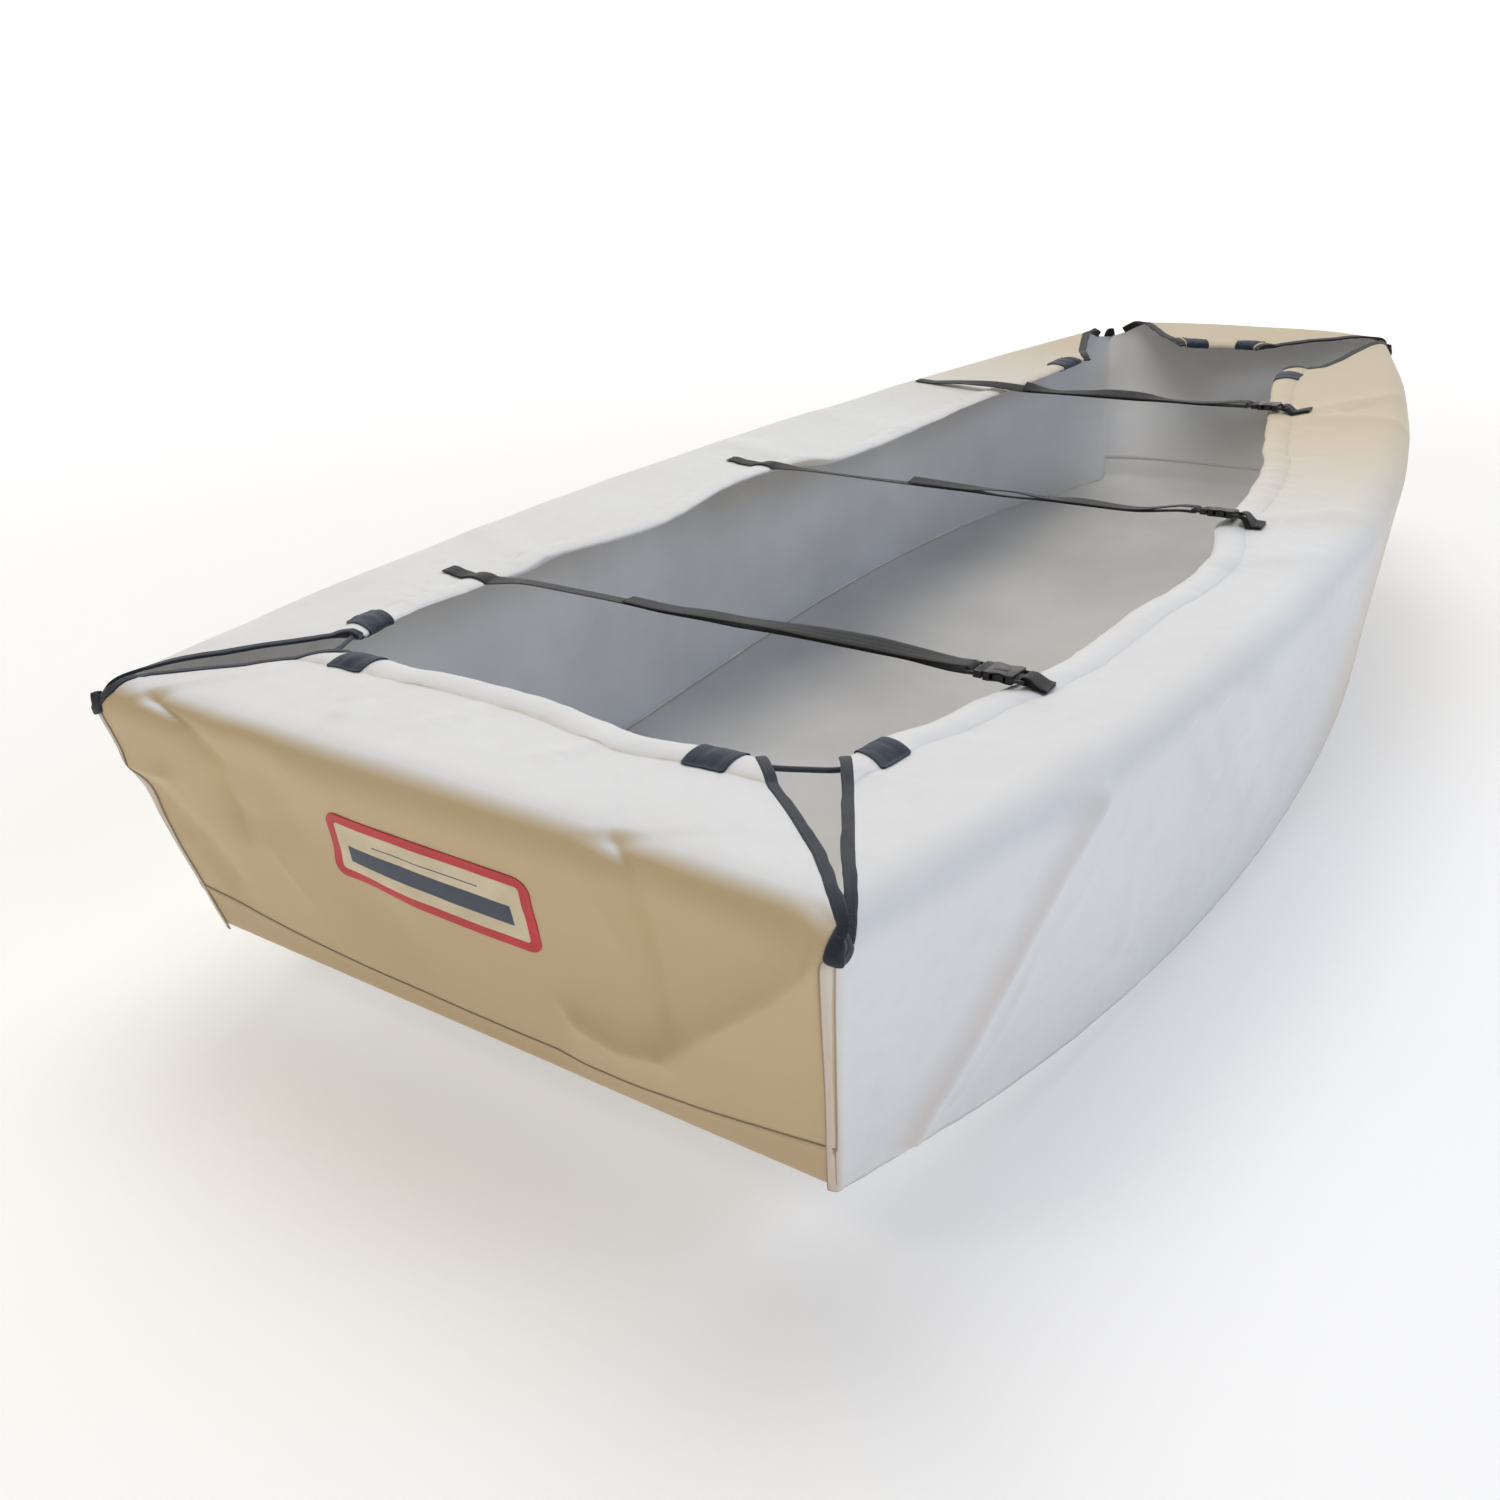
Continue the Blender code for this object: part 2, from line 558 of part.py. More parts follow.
def flange_half(side_name, end_name, row):
    """Half width of a transom panel's cloth in a row of its flange or its turn."""
    half = 0.2
    for _ in range(20):
        hem, edge, _ = transom_frame(end_name, half * SIDES[side_name])
        reach = (hem - edge).length
        half = straight(NOTCHES[(side_name, end_name)], row_depth(row, reach), 2)
    return half


def transom_shares(end_name, row):
    """Shares of the half width, from port to starboard, with columns at the ends of the patches."""
    even = min(1.0, max(0.0, (row - len(HEM_ROLL) + 1) / (TIP_ROW - len(HEM_ROLL) + 1)))
    halves = []
    for side_name in SIDES:
        half = flange_half(side_name, end_name, min(row, TIP_ROW))
        first, second = (edge / half for edge in patch_edges(side_name, end_name, False, row))
        hemmed = (1.0, first, second, second * 0.6, second * 0.2)
        halves.append([a + (b - a) * even for a, b in zip(hemmed, EVEN_SHARES)])
    return halves[0] + [-share for share in reversed(halves[1])]


def transom_panel(end_name):
    top, bottom = gunwale(STATIONS[end_name]), chine(STATIONS[end_name])
    wall = (bottom - top).length
    wall_depths = STERN_WALL_DEPTHS if end_name == "stern" else BOW_WALL_DEPTHS
    grid = []
    for row in range(LAST_TURN_ROW + 1):
        line = []
        for share in transom_shares(end_name, row):
            side_name = "port" if share > 0 else "starboard"
            if row > TIP_ROW:
                half = wall_half(end_name, EDGE_ROUND)
            else:
                half = flange_half(side_name, end_name, row)
            hem, edge, _ = transom_frame(end_name, share * half)
            line.append(transom_point(end_name, share * half, row_depth(row, (hem - edge).length)))
        grid.append(line)
    for k in range(len(wall_depths) + 1):
        line = []
        shares = transom_shares(end_name, TIP_ROW)
        if end_name == "stern" and k < len(wall_depths):
            half = wall_half(end_name, wall_depths[k])
            ends = [straight(PATCH_EDGES, wall_depths[k], column) / half for column in (1, 2)]
            for j, part in zip(PATCH_COLUMNS, (0, 1 / 3, 2 / 3, 1)):
                shares[j] = ends[0] + (ends[1] - ends[0]) * part
        for share in shares:
            depth = wall - seam_rise(end_name, share) - SEAM if k == len(wall_depths) else wall_depths[k]
            line.append(transom_point(end_name, share * wall_half(end_name, depth), depth))
        grid.append(line)
    return Panel(end_name, grid, Vector((-INWARD[end_name], 0, 0)))


# ---------------------------------------------------------------- bottom panel
def bottom_point(x, share):
    """Point of the bottom's outside at x and a share of the half width."""
    edge = chine((x - STERN_RAKE) / (LENGTH - STERN_RAKE - BOW_RAKE))
    ends = min(1.0, (x - STERN_RAKE) / 0.2, (LENGTH - BOW_RAKE - x) / 0.2)
    sag = BOTTOM_SAG * (1 - share**2) * ends
    return Vector((x, share * (edge.y - CORNER_INSET), edge.z - sag))


def foot_rows(end_name, shares, first_run):
    """Rows of the bottom panel that turn up over the foot of a transom, from its seam downward."""
    wall = (chine(STATIONS[end_name]) - gunwale(STATIONS[end_name])).length
    rows = []
    for lift in (1.0, 0.5, 0.0):
        line = []
        for share in shares:
            depth = wall - KNUCKLE - (seam_rise(end_name, share) - KNUCKLE) * lift
            half = wall_half(end_name, depth) - KNUCKLE_EASE * (1 - lift)
            line.append(transom_point(end_name, share * half, depth))
        rows.append(line)
    knuckle = []
    for share, above, ahead in zip(shares, rows[-1], first_run):
        half = wall_half(end_name, wall) - KNUCKLE_EASE * 2
        corner = transom_point(end_name, share * half, wall)
        knuckle.append((above + corner * 2 + ahead) / 4)
    return rows + [knuckle]


def bottom_panel():
    shares = transom_shares("stern", TIP_ROW)
    start = STERN_RAKE + KNUCKLE
    end = LENGTH - BOW_RAKE - KNUCKLE
    runs = []
    for k in range(BOTTOM_RUNS + 1):
        x = start + (end - start) * k / BOTTOM_RUNS
        runs.append([bottom_point(x, share) for share in shares])
    grid = foot_rows("stern", shares, runs[0]) + runs
    grid += list(reversed(foot_rows("bow", shares, runs[-1])))
    panel = Panel("bottom", grid, Vector((0, 0, -1)), hemmed=False)
    if panel.normals[len(grid) // 2][len(shares) // 2].z > 0:
        panel.normals = [[-n for n in line] for line in panel.normals]
        panel.lower = panel.layer([-CLOTH] * len(grid))
    return panel


# ---------------------------------------------------------------- bindings, patches, elastics
def tape_leg(edge, normals, other, width, gap):
    """The outer and the inner line of the tape that runs along one cloth edge of a notch."""
    outer, inner = [], []
    for i, point in enumerate(edge):
        line = [edge[max(i - 1, 0)], point, edge[min(i + 1, len(edge) - 1)]]
        sides = [normals[i].cross(q - p).normalized() for p, q in zip(line, line[1:]) if p != q]
        if sides[0].dot(other[i] - point) < 0:
            sides = [-side for side in sides]
        across = sum(sides, Vector()).normalized()
        across /= max(across.dot(sides[0]), 0.6)
        outer.append(point + across * gap)
        inner.append(point + across * (gap + width))
    return outer, inner


def corner_point(side_name, end_name, depth):
    """Point on the rounded corner of the cover."""
    x = LENGTH * STATIONS[end_name]
    half = wall_half(end_name, max(depth, 0.0)) + CORNER_INSET
    return (side_point(side_name, x, depth) + transom_point(end_name, half * SIDES[side_name], depth)) / 2


def binding(side, end):
    """Tape bound round both cloth edges of a notch. Returns the inner lines of its two legs."""
    side_column = 0 if end.name == "stern" else -1
    end_column = 0 if side.name == "port" else -1
    rows = range(TIP_ROW + 1)
    a, b = [side.grid[i][side_column] for i in rows], [end.grid[i][end_column] for i in rows]
    a_up = [side.normals[i][side_column] for i in rows]
    b_up = [end.normals[i][end_column] for i in rows]
    a_out, a_in = tape_leg(a, a_up, b, TAPE_WIDTHS[end.name], TAPE_GAPS[end.name])
    b_out, b_in = tape_leg(b, b_up, a, TAPE_WIDTHS[end.name], TAPE_GAPS[end.name])
    joined = JOINED_ROWS[(side.name, end.name)]
    points, normals, rolls, index, tops = [], [], [], {}, []

    def add(key, point, normal, roll):
        index[key] = len(points)
        points.append(point)
        normals.append(normal)
        rolls.append(roll)

    for i in rows:
        roll = (TAPE_PROUD, CLOTH + TAPE_PROUD)
        if i < len(HEM_ROLL):
            roll = (HEM_ROLL[i][1] + TAPE_PROUD / 2, HEM_ROLL[i][2] + TAPE_PROUD / 2)
        mean = (a_up[i] + b_up[i]).normalized()
        add((i, 0), a_out[i], a_up[i], roll)
        if i > TIP_ROW - joined:
            bulge = (i - TIP_ROW + 2) * 0.3
            depth = EDGE_ROUND * (2 * TURN_STEPS[i - TURN_ROW] - 1)
            corner = corner_point(side.name, end.name, depth)
            middle = (a_out[i] + b_out[i]) / 2
            add((i, 1), middle + (corner - middle) * max(0.0, bulge), mean, roll)
            index[(i, 2)] = index[(i, 1)]
        else:
            add((i, 1), a_in[i], a_up[i], roll)
            add((i, 2), b_in[i], b_up[i], roll)
        add((i, 3), b_out[i], b_up[i], roll)
    mean = (a_up[TIP_ROW] + b_up[TIP_ROW]).normalized()
    add("tip", corner_point(side.name, end.name, TIP_DEPTH) - mean * 0.001, mean, roll)
    quads = []
    for i in range(TIP_ROW):
        quads += [[(i, 0), (i, 1), (i + 1, 1), (i + 1, 0)], [(i, 2), (i, 3), (i + 1, 3), (i + 1, 2)]]
    if joined:
        quads += [[(TIP_ROW, 0), (TIP_ROW, 1), "tip"], [(TIP_ROW, 1), (TIP_ROW, 3), "tip"]]
    else:
        add("fork", corner_point(side.name, end.name, TIP_DEPTH - 0.012) - mean * 0.001, mean, roll)
        quads += [[(TIP_ROW, 0), (TIP_ROW, 1), "fork", "tip"], [(TIP_ROW, 2), (TIP_ROW, 3), "tip", "fork"]]
    for quad in quads:
        k = [index[key] for key in quad]
        tops += [(k[0], k[n], k[n + 1]) for n in range(1, len(k) - 1)]
    plate("binding_%s_%s" % (side.name, end.name), points, normals, rolls, tops, "tape")
    return a_in, b_in


def casing_patch(name, panel, columns, gap):
    """Patch folded round the hem: a shell over the panel's own rows at two of its columns."""
    rows = range(len(HEM_ROLL))
    run = (panel.grid[0][columns[1]] - panel.grid[0][columns[0]]).normalized()
    inner, outer = [], []
    for j in columns:
        section = [panel.upper[i][j] for i in reversed(rows)] + [panel.lower[i][j] for i in rows]
        sign = 1.0 if run.cross(section[2] - section[1]).z > 0 else -1.0
        near, far = [], []
        for k, point in enumerate(section):
            ends = [section[max(k - 1, 0)], point, section[min(k + 1, len(section) - 1)]]
            faces = [run.cross(q - p).normalized() * sign for p, q in zip(ends, ends[1:]) if p != q]
            mean = sum(faces, Vector()).normalized()
            stretch = 1 / max(mean.dot(faces[0]), 0.6)
            near.append(point + mean * stretch * gap)
            far.append(point + mean * stretch * (gap + PATCH_CLOTH))
        inner.append(near)
        outer.append(far)
    return shell(name, outer, inner, "tape")


def elastic(name, start, end, short):
    """Short round elastic between two points, a little short of both."""
    run = (end - start).normalized()
    side = run.cross(Vector((0, 0, 1))).normalized()
    up = side.cross(run)
    ring = [2 * math.pi * k / 12 for k in range(12)]
    rings = []
    for point in (start + run * short, end - run * short):
        rings.append([point + (side * math.cos(a) + up * math.sin(a)) * ELASTIC / 2 for a in ring])
    faces = [(k, (k + 1) % 12, (k + 1) % 12 + 12, k + 12) for k in range(12)]
    faces += [tuple(range(11, -1, -1)), tuple(range(12, 24))]
    return make_object(name, rings[0] + rings[1], faces, "tape")


# ---------------------------------------------------------------- straps and buckles
class Strap:
    """One cross strap: where it lies on both hems and how it runs between them."""

    def __init__(self, row, panels):
        self.name, self.x_port, self.x_starboard = row[0], row[1], row[2]
        self.sewn = {"port": row[3], "starboard": row[4]}
        self.turn, self.tail_end = math.radians(row[6]), row[7]
        self.lines = {side_name: self.hem_line(panels[side_name]) for side_name in SIDES}
        self.prong_bar = row[5] - BAR / 2
        self.socket_mouth = row[5] - BAR - SLOT - PRONG_BODY - 0.0004
        self.socket_bar = self.socket_mouth - SOCKET_BODY - SLOT - BAR / 2
        self.level = self.resting_level()
        self.loop = (BAR * 0.71 + 0.0004 + WEBBING / 2) / math.cos(math.radians(14))

    def resting_level(self):
        """Height of the buckle's middle, where its body and the webbing under its frame clear the hem."""
        line = [(-y, *rest) for y, *rest in self.lines["starboard"]]
        level = 0.0
        for k in range(30):
            y = line[0][0] + 0.002 * k
            room = WEBBING + LIFT * 2 + BUCKLE_FRAME / 2
            if y < SOCKET_BODY - self.socket_mouth:
                room = BUCKLE_THICK / 2 + LIFT * 2
            elif y > BAR - self.socket_bar:
                continue
            slope = abs(math.radians(straight(line, y, 2)) - self.turn)
            level = max(level, straight(line, y, 1) + room + slope * BUCKLE_WIDTH / 2)
        return level

    def x_at(self, y):
        """Place along the cover: it shifts between the port hem and the buckle, and nowhere else."""
        hem = self.lines["port"][0][0]
        share = min(max((hem - y) / (hem - self.prong_bar), 0.0), 1.0)
        return self.x_port + (self.x_starboard - self.x_port) * share

    def hem_line(self, panel):
        """(y, z, turn, skew) along the top of a panel's flange midway under this strap, hem first."""
        x = self.x_port if panel.name == "port" else self.x_starboard
        near = min(range(len(panel.grid[0])), key=lambda j: abs(panel.grid[0][j].x - x + STRAP_BERTH))
        line = []
        for i in range(TURN_ROW + 1):
            p, q = panel.upper[i][near], panel.upper[i][near + 1]
            turn = math.degrees(math.atan2(q.z - p.z, q.x - p.x))
            line.append(((p.y + q.y) / 2, (p.z + q.z) / 2, turn, (q.y - p.y) / (q.x - p.x)))
        return line

    def lying(self, side_name, y, layer=0):
        """Path row of webbing that lies on the flange at y, or of the layer above it."""
        line = [(abs(row[0]), *row[1:]) for row in self.lines[side_name]]
        z, turn, skew = (straight(line, abs(y), column) for column in (1, 2, 3))
        return (y, z + LIFT + WEBBING / 2 + layer * (WEBBING + LIFT), turn, skew)

    def sewn_places(self, side_name, inner):
        """Places from the sewn end in to a place short of inner, with one at each row between."""
        hem = abs(self.lines[side_name][0][0])
        outer = hem + self.sewn[side_name]
        rows = [abs(row[0]) for row in self.lines[side_name]]
        between = [y for y in reversed(rows) if inner < y < outer - 0.003]
        return [y * SIDES[side_name] for y in [outer] + (between or [outer - SEWN_TAB])]

    def round_bar(self, bar, inboard):
        """Path rows from under a bar, round its inboard or outboard face, to over it."""
        rows = []
        for k in range(9):
            angle = math.radians(-112 + 28 * k)
            side = math.cos(angle) * self.loop * inboard
            rows.append((bar + side, self.level + math.sin(angle) * self.loop, math.degrees(self.turn), 0.0))
        return rows

    def stations(self, path):
        """(centre, width direction, face normal) along a path of (y, z, turn, skew) rows."""
        found = []
        for k, (y, z, turn, skew) in enumerate(path):
            here = Vector((0, y, z))
            before = here - Vector((0, *path[k - 1][:2])) if k else None
            after = Vector((0, *path[k + 1][:2])) - here if k < len(path) - 1 else None
            runs = [run.normalized() for run in (before, after) if run is not None]
            tangent = sum(runs, Vector()).normalized()
            bend = 1 / max(0.5, tangent.dot(runs[0]))
            angle = math.radians(turn)
            across = Vector((math.cos(angle), skew, math.sin(angle)))
            found.append((Vector((self.x_at(y), y, z)), across, tangent.cross(across).normalized() * bend))
        return found

    def ribbon(self, part, path):
        upper, lower = [], []
        for centre, across, normal in self.stations(path):
            ends = [centre + across * WEBBING_WIDTH / 2 * k for k in (-1, 1)]
            upper.append([end + normal * WEBBING / 2 for end in ends])
            lower.append([end - normal * WEBBING / 2 for end in ends])
        shell("strap_%s_%s" % (self.name, part), upper, lower, "webbing")

    def long_part(self):
        """From its sewn end over the port hem, round the prong half's bar and back as the tail."""
        span = [(y, GUNWALE_LEVEL + h, *rest) for y, h, *rest in SPANS[self.name]]
        inner = max(span[0][0], abs(self.lines["port"][1][0]) - 0.006)
        path = [self.lying("port", y) for y in self.sewn_places("port", inner)]
        path += [(y, z, turn, 0.0) for y, z, turn, _, _ in span]
        bar, turn = self.prong_bar, math.degrees(self.turn)
        path += [(bar + 0.018, self.level - self.loop, turn, 0.0)]
        path += self.round_bar(bar, -1)
        path += [(bar + 0.018, self.level + self.loop * 0.7, turn, 0.0)]
        for y, z, _, gap, turn in reversed(span):
            if y <= self.tail_end + 0.001:
                path.append((y, z + gap / math.cos(math.radians(turn)), turn, 0.0))
        self.ribbon("long", path)

    def short_part(self):
        """Two layers, sewn to the starboard flange and looped round the socket's bar."""
        bar = self.socket_bar
        path = [self.lying("starboard", y) for y in self.sewn_places("starboard", abs(bar) + 0.005)]
        path += self.round_bar(bar, 1)
        path += [(bar - 0.0048, self.level + self.loop * 0.85, math.degrees(self.turn), 0.0)]
        places = self.sewn_places("starboard", abs(bar) + 0.012)
        path += [self.lying("starboard", y, 1) for y in reversed(places)]
        self.ribbon("short", path)

    def moulding(self, part, outline, slot_row):
        """Moulded plate from rows of (y, half width, half thickness), with a slot in one run."""
        points, tops = [], []
        slot = WEBBING_WIDTH / 2 + SLOT_SIDE
        across = Vector((math.cos(self.turn), 0, math.sin(self.turn)))
        normal = Vector((-math.sin(self.turn), 0, math.cos(self.turn)))
        for y, half, _ in outline:
            for x in (-half, -slot, slot, half):
                points.append(Vector((self.x_at(y), y, self.level)) + across * x)
        for k in range(len(outline) - 1):
            for c in range(3):
                if k == slot_row and c == 1:
                    continue
                a = 4 * k + c
                tops += [(a, a + 1, a + 5), (a, a + 5, a + 4)]
        rolls = [(half_thick, half_thick) for _, _, half_thick in outline for _ in range(4)]
        name = "buckle_%s_%s" % (self.name, part)
        plate(name, points, [normal] * len(points), rolls, tops, "moulded")

    def buckle(self):
        half, frame, body = BUCKLE_WIDTH / 2, BUCKLE_FRAME / 2, BUCKLE_THICK / 2
        y = self.prong_bar + BAR / 2
        rows = [(y, half - 0.001, frame), (y - BAR, half, frame)]
        rows += [(y - BAR - SLOT, half, frame), (y - BAR - SLOT - 0.003, half, body * 0.9)]
        rows += [(self.socket_mouth + 0.0004, half - 0.001, body * 0.9)]
        self.moulding("prongs", rows, 1)
        y = self.socket_mouth
        waist = half - 0.0022
        rows = [(y, half, body), (y - 0.007, half, body), (y - 0.010, waist, body)]
        rows += [(y - 0.022, waist, body), (y - 0.025, half, body), (y - SOCKET_BODY + 0.003, half, body)]
        rows += [(y - SOCKET_BODY, half, frame), (y - SOCKET_BODY - SLOT, half, frame)]
        rows += [(y - SOCKET_BODY - SLOT - BAR, half - 0.001, frame)]
        self.moulding("socket", rows, 6)


# ---------------------------------------------------------------- assembly
def make_materials():
    for name, (colour, roughness, metallic) in MATERIALS.items():
        material = bpy.data.materials.new(name)
        material.use_nodes = True
        shader = material.node_tree.nodes["Principled BSDF"]
        shader.inputs["Base Color"].default_value = colour
        shader.inputs["Roughness"].default_value = roughness
        shader.inputs["Metallic"].default_value = metallic


def stern_patch(panel):
    """Sewn patch on the outside of the stern, over the panel's own rows and columns."""
    rows, columns = PATCH_ROWS, PATCH_COLUMNS
    inner = [[panel.grid[i][j] + panel.normals[i][j] * SEWN_GAP for j in columns] for i in rows]
    outer = [
        [panel.grid[i][j] + panel.normals[i][j] * (SEWN_GAP + PATCH_CLOTH) for j in columns] for i in rows
    ]
    shell("stern_patch", outer, inner, "print")


def main():
    for obj in list(bpy.data.objects):
        bpy.data.objects.remove(obj, do_unlink=True)
    make_materials()
    sides = {name: side_panel(name) for name in SIDES}
    ends = {name: transom_panel(name) for name in STATIONS}
    for panel in list(sides.values()) + list(ends.values()) + [bottom_panel()]:
        panel.build()
    for side in sides.values():
        for end in ends.values():
            a_in, b_in = binding(side, end)
            corner = side.name + "_" + end.name
            if end.name == "stern":
                elastic("elastic_" + corner, a_in[1], b_in[1], ELASTIC_SHORT[side.name])
            gap = PATCH_GAPS[end.name]
            last = len(side.grid[0]) - 1
            columns = [1, 2] if end.name == "stern" else [last - 2, last - 1]
            casing_patch("patch_" + corner + "_side", side, columns, gap)
            last = len(end.grid[0]) - 1
            columns = [1, 2] if side.name == "port" else [last - 2, last - 1]
            casing_patch("patch_" + corner + "_end", end, columns, gap)
    stern_patch(ends["stern"])
    for row in STRAPS:
        strap = Strap(row, sides)
        strap.long_part()
        strap.buckle()
        strap.short_part()


main()
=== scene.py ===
"""Looks of the dinghy's hull cover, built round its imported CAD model.

Every cloth panel is one fine sheet on the surface that its CAD solid has: a section runs from the
hem over the gunwale and down to the foot. Lengths are metres, and mm() reads a table that is
written in millimetres. Until it is moved into the frame a point has x from the stern, y to port
and z above the base line. Depth is the distance down a section from the gunwale's edge: it is
negative on the flange.
"""

import math

import bmesh
import bpy
import numpy as np
from mathutils import Matrix, Vector


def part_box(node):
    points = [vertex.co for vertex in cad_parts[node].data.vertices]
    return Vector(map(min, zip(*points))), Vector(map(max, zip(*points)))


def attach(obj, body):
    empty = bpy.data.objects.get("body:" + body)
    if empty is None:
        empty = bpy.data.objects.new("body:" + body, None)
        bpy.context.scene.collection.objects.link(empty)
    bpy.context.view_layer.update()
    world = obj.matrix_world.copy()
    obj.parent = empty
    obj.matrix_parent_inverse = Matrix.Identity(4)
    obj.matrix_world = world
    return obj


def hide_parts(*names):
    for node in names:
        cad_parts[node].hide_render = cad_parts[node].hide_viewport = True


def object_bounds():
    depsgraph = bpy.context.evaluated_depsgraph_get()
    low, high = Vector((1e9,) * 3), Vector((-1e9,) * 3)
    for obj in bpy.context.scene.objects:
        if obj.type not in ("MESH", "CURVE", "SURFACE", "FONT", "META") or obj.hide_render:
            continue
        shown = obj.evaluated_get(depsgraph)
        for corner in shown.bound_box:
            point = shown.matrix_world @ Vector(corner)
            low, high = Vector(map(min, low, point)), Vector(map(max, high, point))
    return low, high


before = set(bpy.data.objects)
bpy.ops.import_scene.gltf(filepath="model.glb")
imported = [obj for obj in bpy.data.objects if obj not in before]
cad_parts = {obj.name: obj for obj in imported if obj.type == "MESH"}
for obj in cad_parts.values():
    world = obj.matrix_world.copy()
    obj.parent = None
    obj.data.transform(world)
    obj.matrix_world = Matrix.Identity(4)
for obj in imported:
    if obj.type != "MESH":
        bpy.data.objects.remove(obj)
CAD_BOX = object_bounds()


def mm(*rows):
    """A table written in millimetres, in metres."""
    return np.array(rows, float) / 1000


# ---------------------------------------------------------------- sizes of the CAD model
LENGTH = 2.36
GUNWALE_LEVEL = 0.372
ORIGIN = np.array([LENGTH / 2, 0.0, GUNWALE_LEVEL])
CLOTH = 0.0013
CORNER_INSET = 0.0026
EDGE_ROUND = 0.050
HEM_DROP = 0.010
STERN_RAKE = 0.069
BOW_RAKE = 0.109
BOTTOM_LENGTH = LENGTH - STERN_RAKE - BOW_RAKE
BOW_CAMBER = 0.022
BOW_CROWN = 0.010           # the cloth stands this much above the even edge at the middle of the bow
KNUCKLE = 0.012
BOTTOM_SAG = 0.006
WEBBING_WIDTH = 0.025
WEBBING = 0.0018
LIFT = 0.0010
OFFSETS = np.array((        # share of the length, gunwale's half width and level, chine's
    (0, 0.44, 0.394, 0.395, 0.087), (0.125, 0.49, 0.386, 0.426, 0.023), (0.25, 0.522, 0.38, 0.456, -0.008),
    (0.375, 0.536, 0.377, 0.477, -0.014), (0.5, 0.529, 0.377, 0.483, -0.002),
    (0.625, 0.5, 0.379, 0.469, 0.022), (0.75, 0.451, 0.386, 0.428, 0.049),
    (0.875, 0.381, 0.396, 0.353, 0.074), (1, 0.29, 0.41, 0.24, 0.088),
))
HEM_LINES = {       # place along the panel, and the hem's y, or its distance from the transom's edge
    "port": mm(
        (230, 301), (330, 325), (460, 324), (530, 319), (600, 330), (700, 306), (800, 302), (930, 327),
        (1030, 334), (1110, 317), (1170, 270), (1370, 256), (1600, 254), (1750, 238), (1880, 221),
        (2030, 209),
    ),
    "starboard": mm(
        (240, 295), (300, 302), (360, 320), (450, 338), (530, 360), (610, 368), (720, 369), (830, 382),
        (890, 386), (950, 383), (1020, 368), (1090, 347), (1170, 346), (1310, 331), (1410, 315),
        (1500, 290), (1670, 247), (1790, 215), (2000, 168), (2090, 165),
    ),
    "stern": mm(
        (-270, 202), (-190, 198), (-130, 187), (-80, 196), (-20, 205), (50, 211), (110, 208), (170, 201),
        (210, 202), (280, 196),
    ),
    "bow": mm(
        (-150, 165), (-110, 180), (-60, 173), (0, 181), (40, 190), (90, 180), (150, 162),
    ),
}
NOTCHES = {         # depth, start of the side panel's cloth, half width of the transom panel's
    ("starboard", "stern"): mm(
        (-200, 270, 236), (-187, 254, 249), (-160, 221, 276.5), (-119, 168, 324.5), (-77, 113, 370.5),
        (-50, 78.5, 394.5), (-25, 52, 413.5), (0, 31, 429), (27, 15.5, 426),
    ),
    ("port", "stern"): mm(
        (-200, 259, 259), (-186, 256, 266.8), (-176, 254.8, 284.5), (-160, 253, 299.8), (-149, 245, 311.5),
        (-132, 226.5, 323.5), (-117, 203, 331), (-85, 158, 360), (-50, 106, 391), (-25, 64, 401),
        (0, 36, 406), (27, 16, 423),
    ),
    ("starboard", "bow"): mm(
        (-200, 292, 70), (-180, 284, 86), (-142, 262, 120), (-109, 203, 151), (-82, 145, 188),
        (-50, 84, 222), (-25, 52, 251), (0, 29, 268), (27, 13, 276),
    ),
    ("port", "bow"): mm(
        (-200, 350, 64), (-171, 325, 86), (-154, 304, 101), (-120, 258, 129), (-80, 196, 157),
        (-50, 150, 180), (-25, 112, 198), (0, 76, 216), (27, 38, 248),
    ),
}
TIP = 0.027                 # depth at which a notch closes
TIP_DEPTH = 0.038
CLOSED = 0.036
TAPE_WIDTHS = {"stern": 0.0095, "bow": 0.014}
PATCH_EDGES = mm((68, 109, -135), (158, 140, -125))     # the label's depth, port and starboard edges
PATCH_PLACES = {    # each patch's edge nearer the notch and its other edge, at the hem and the seam
    ("starboard", "stern"): mm(((262, 299), (243, 285.5)), ((229, 186.5), (229.5, 187))),
    ("port", "stern"): mm(((263, 306), (268, 316)), ((256, 215), (257, 213))),
    ("starboard", "bow"): mm(((326, 392), (324, 375)), ((71, 36), (83, 32))),
    ("port", "bow"): mm(((348, 418), (344, 410)), ((54, 12), (80, 33))),
}
PATCH_CORNER = 0.0045
LABEL_CORNER = 0.016
ELASTIC = 0.0052
CAP_PROUD = {("starboard", "bow"): 0.0080}      # where the tape is folded over itself
WRAP = 0.0095               # a side panel's lap round the corner, on the transom
WRAP_COLUMNS = 8
LAP_LIFTS = (0.0016, 0.0003)     # of the lap's outer and inner face above the transom's cloth
SELVEDGE = 0.0012           # cloth beyond a notch's edge, inside its binding
CORNER_START = 0.006        # and where the turn starts, on the side
HEM_WIDTH = 0.038
STRAPS = (      # name, x_port, x_starboard, port_sewn, starboard_sewn, buckle_y, buckle_turn, tail_end
    ("aft", 0.468, 0.48, 0.072, 0.038, -0.299, -3, 0.118),
    ("middle", 1.095, 1.102, 0.088, 0.058, -0.315, -9, 0.095),
    ("forward", 1.722, 1.746, 0.173, 0.068, -0.191, 0, 0.2),
)
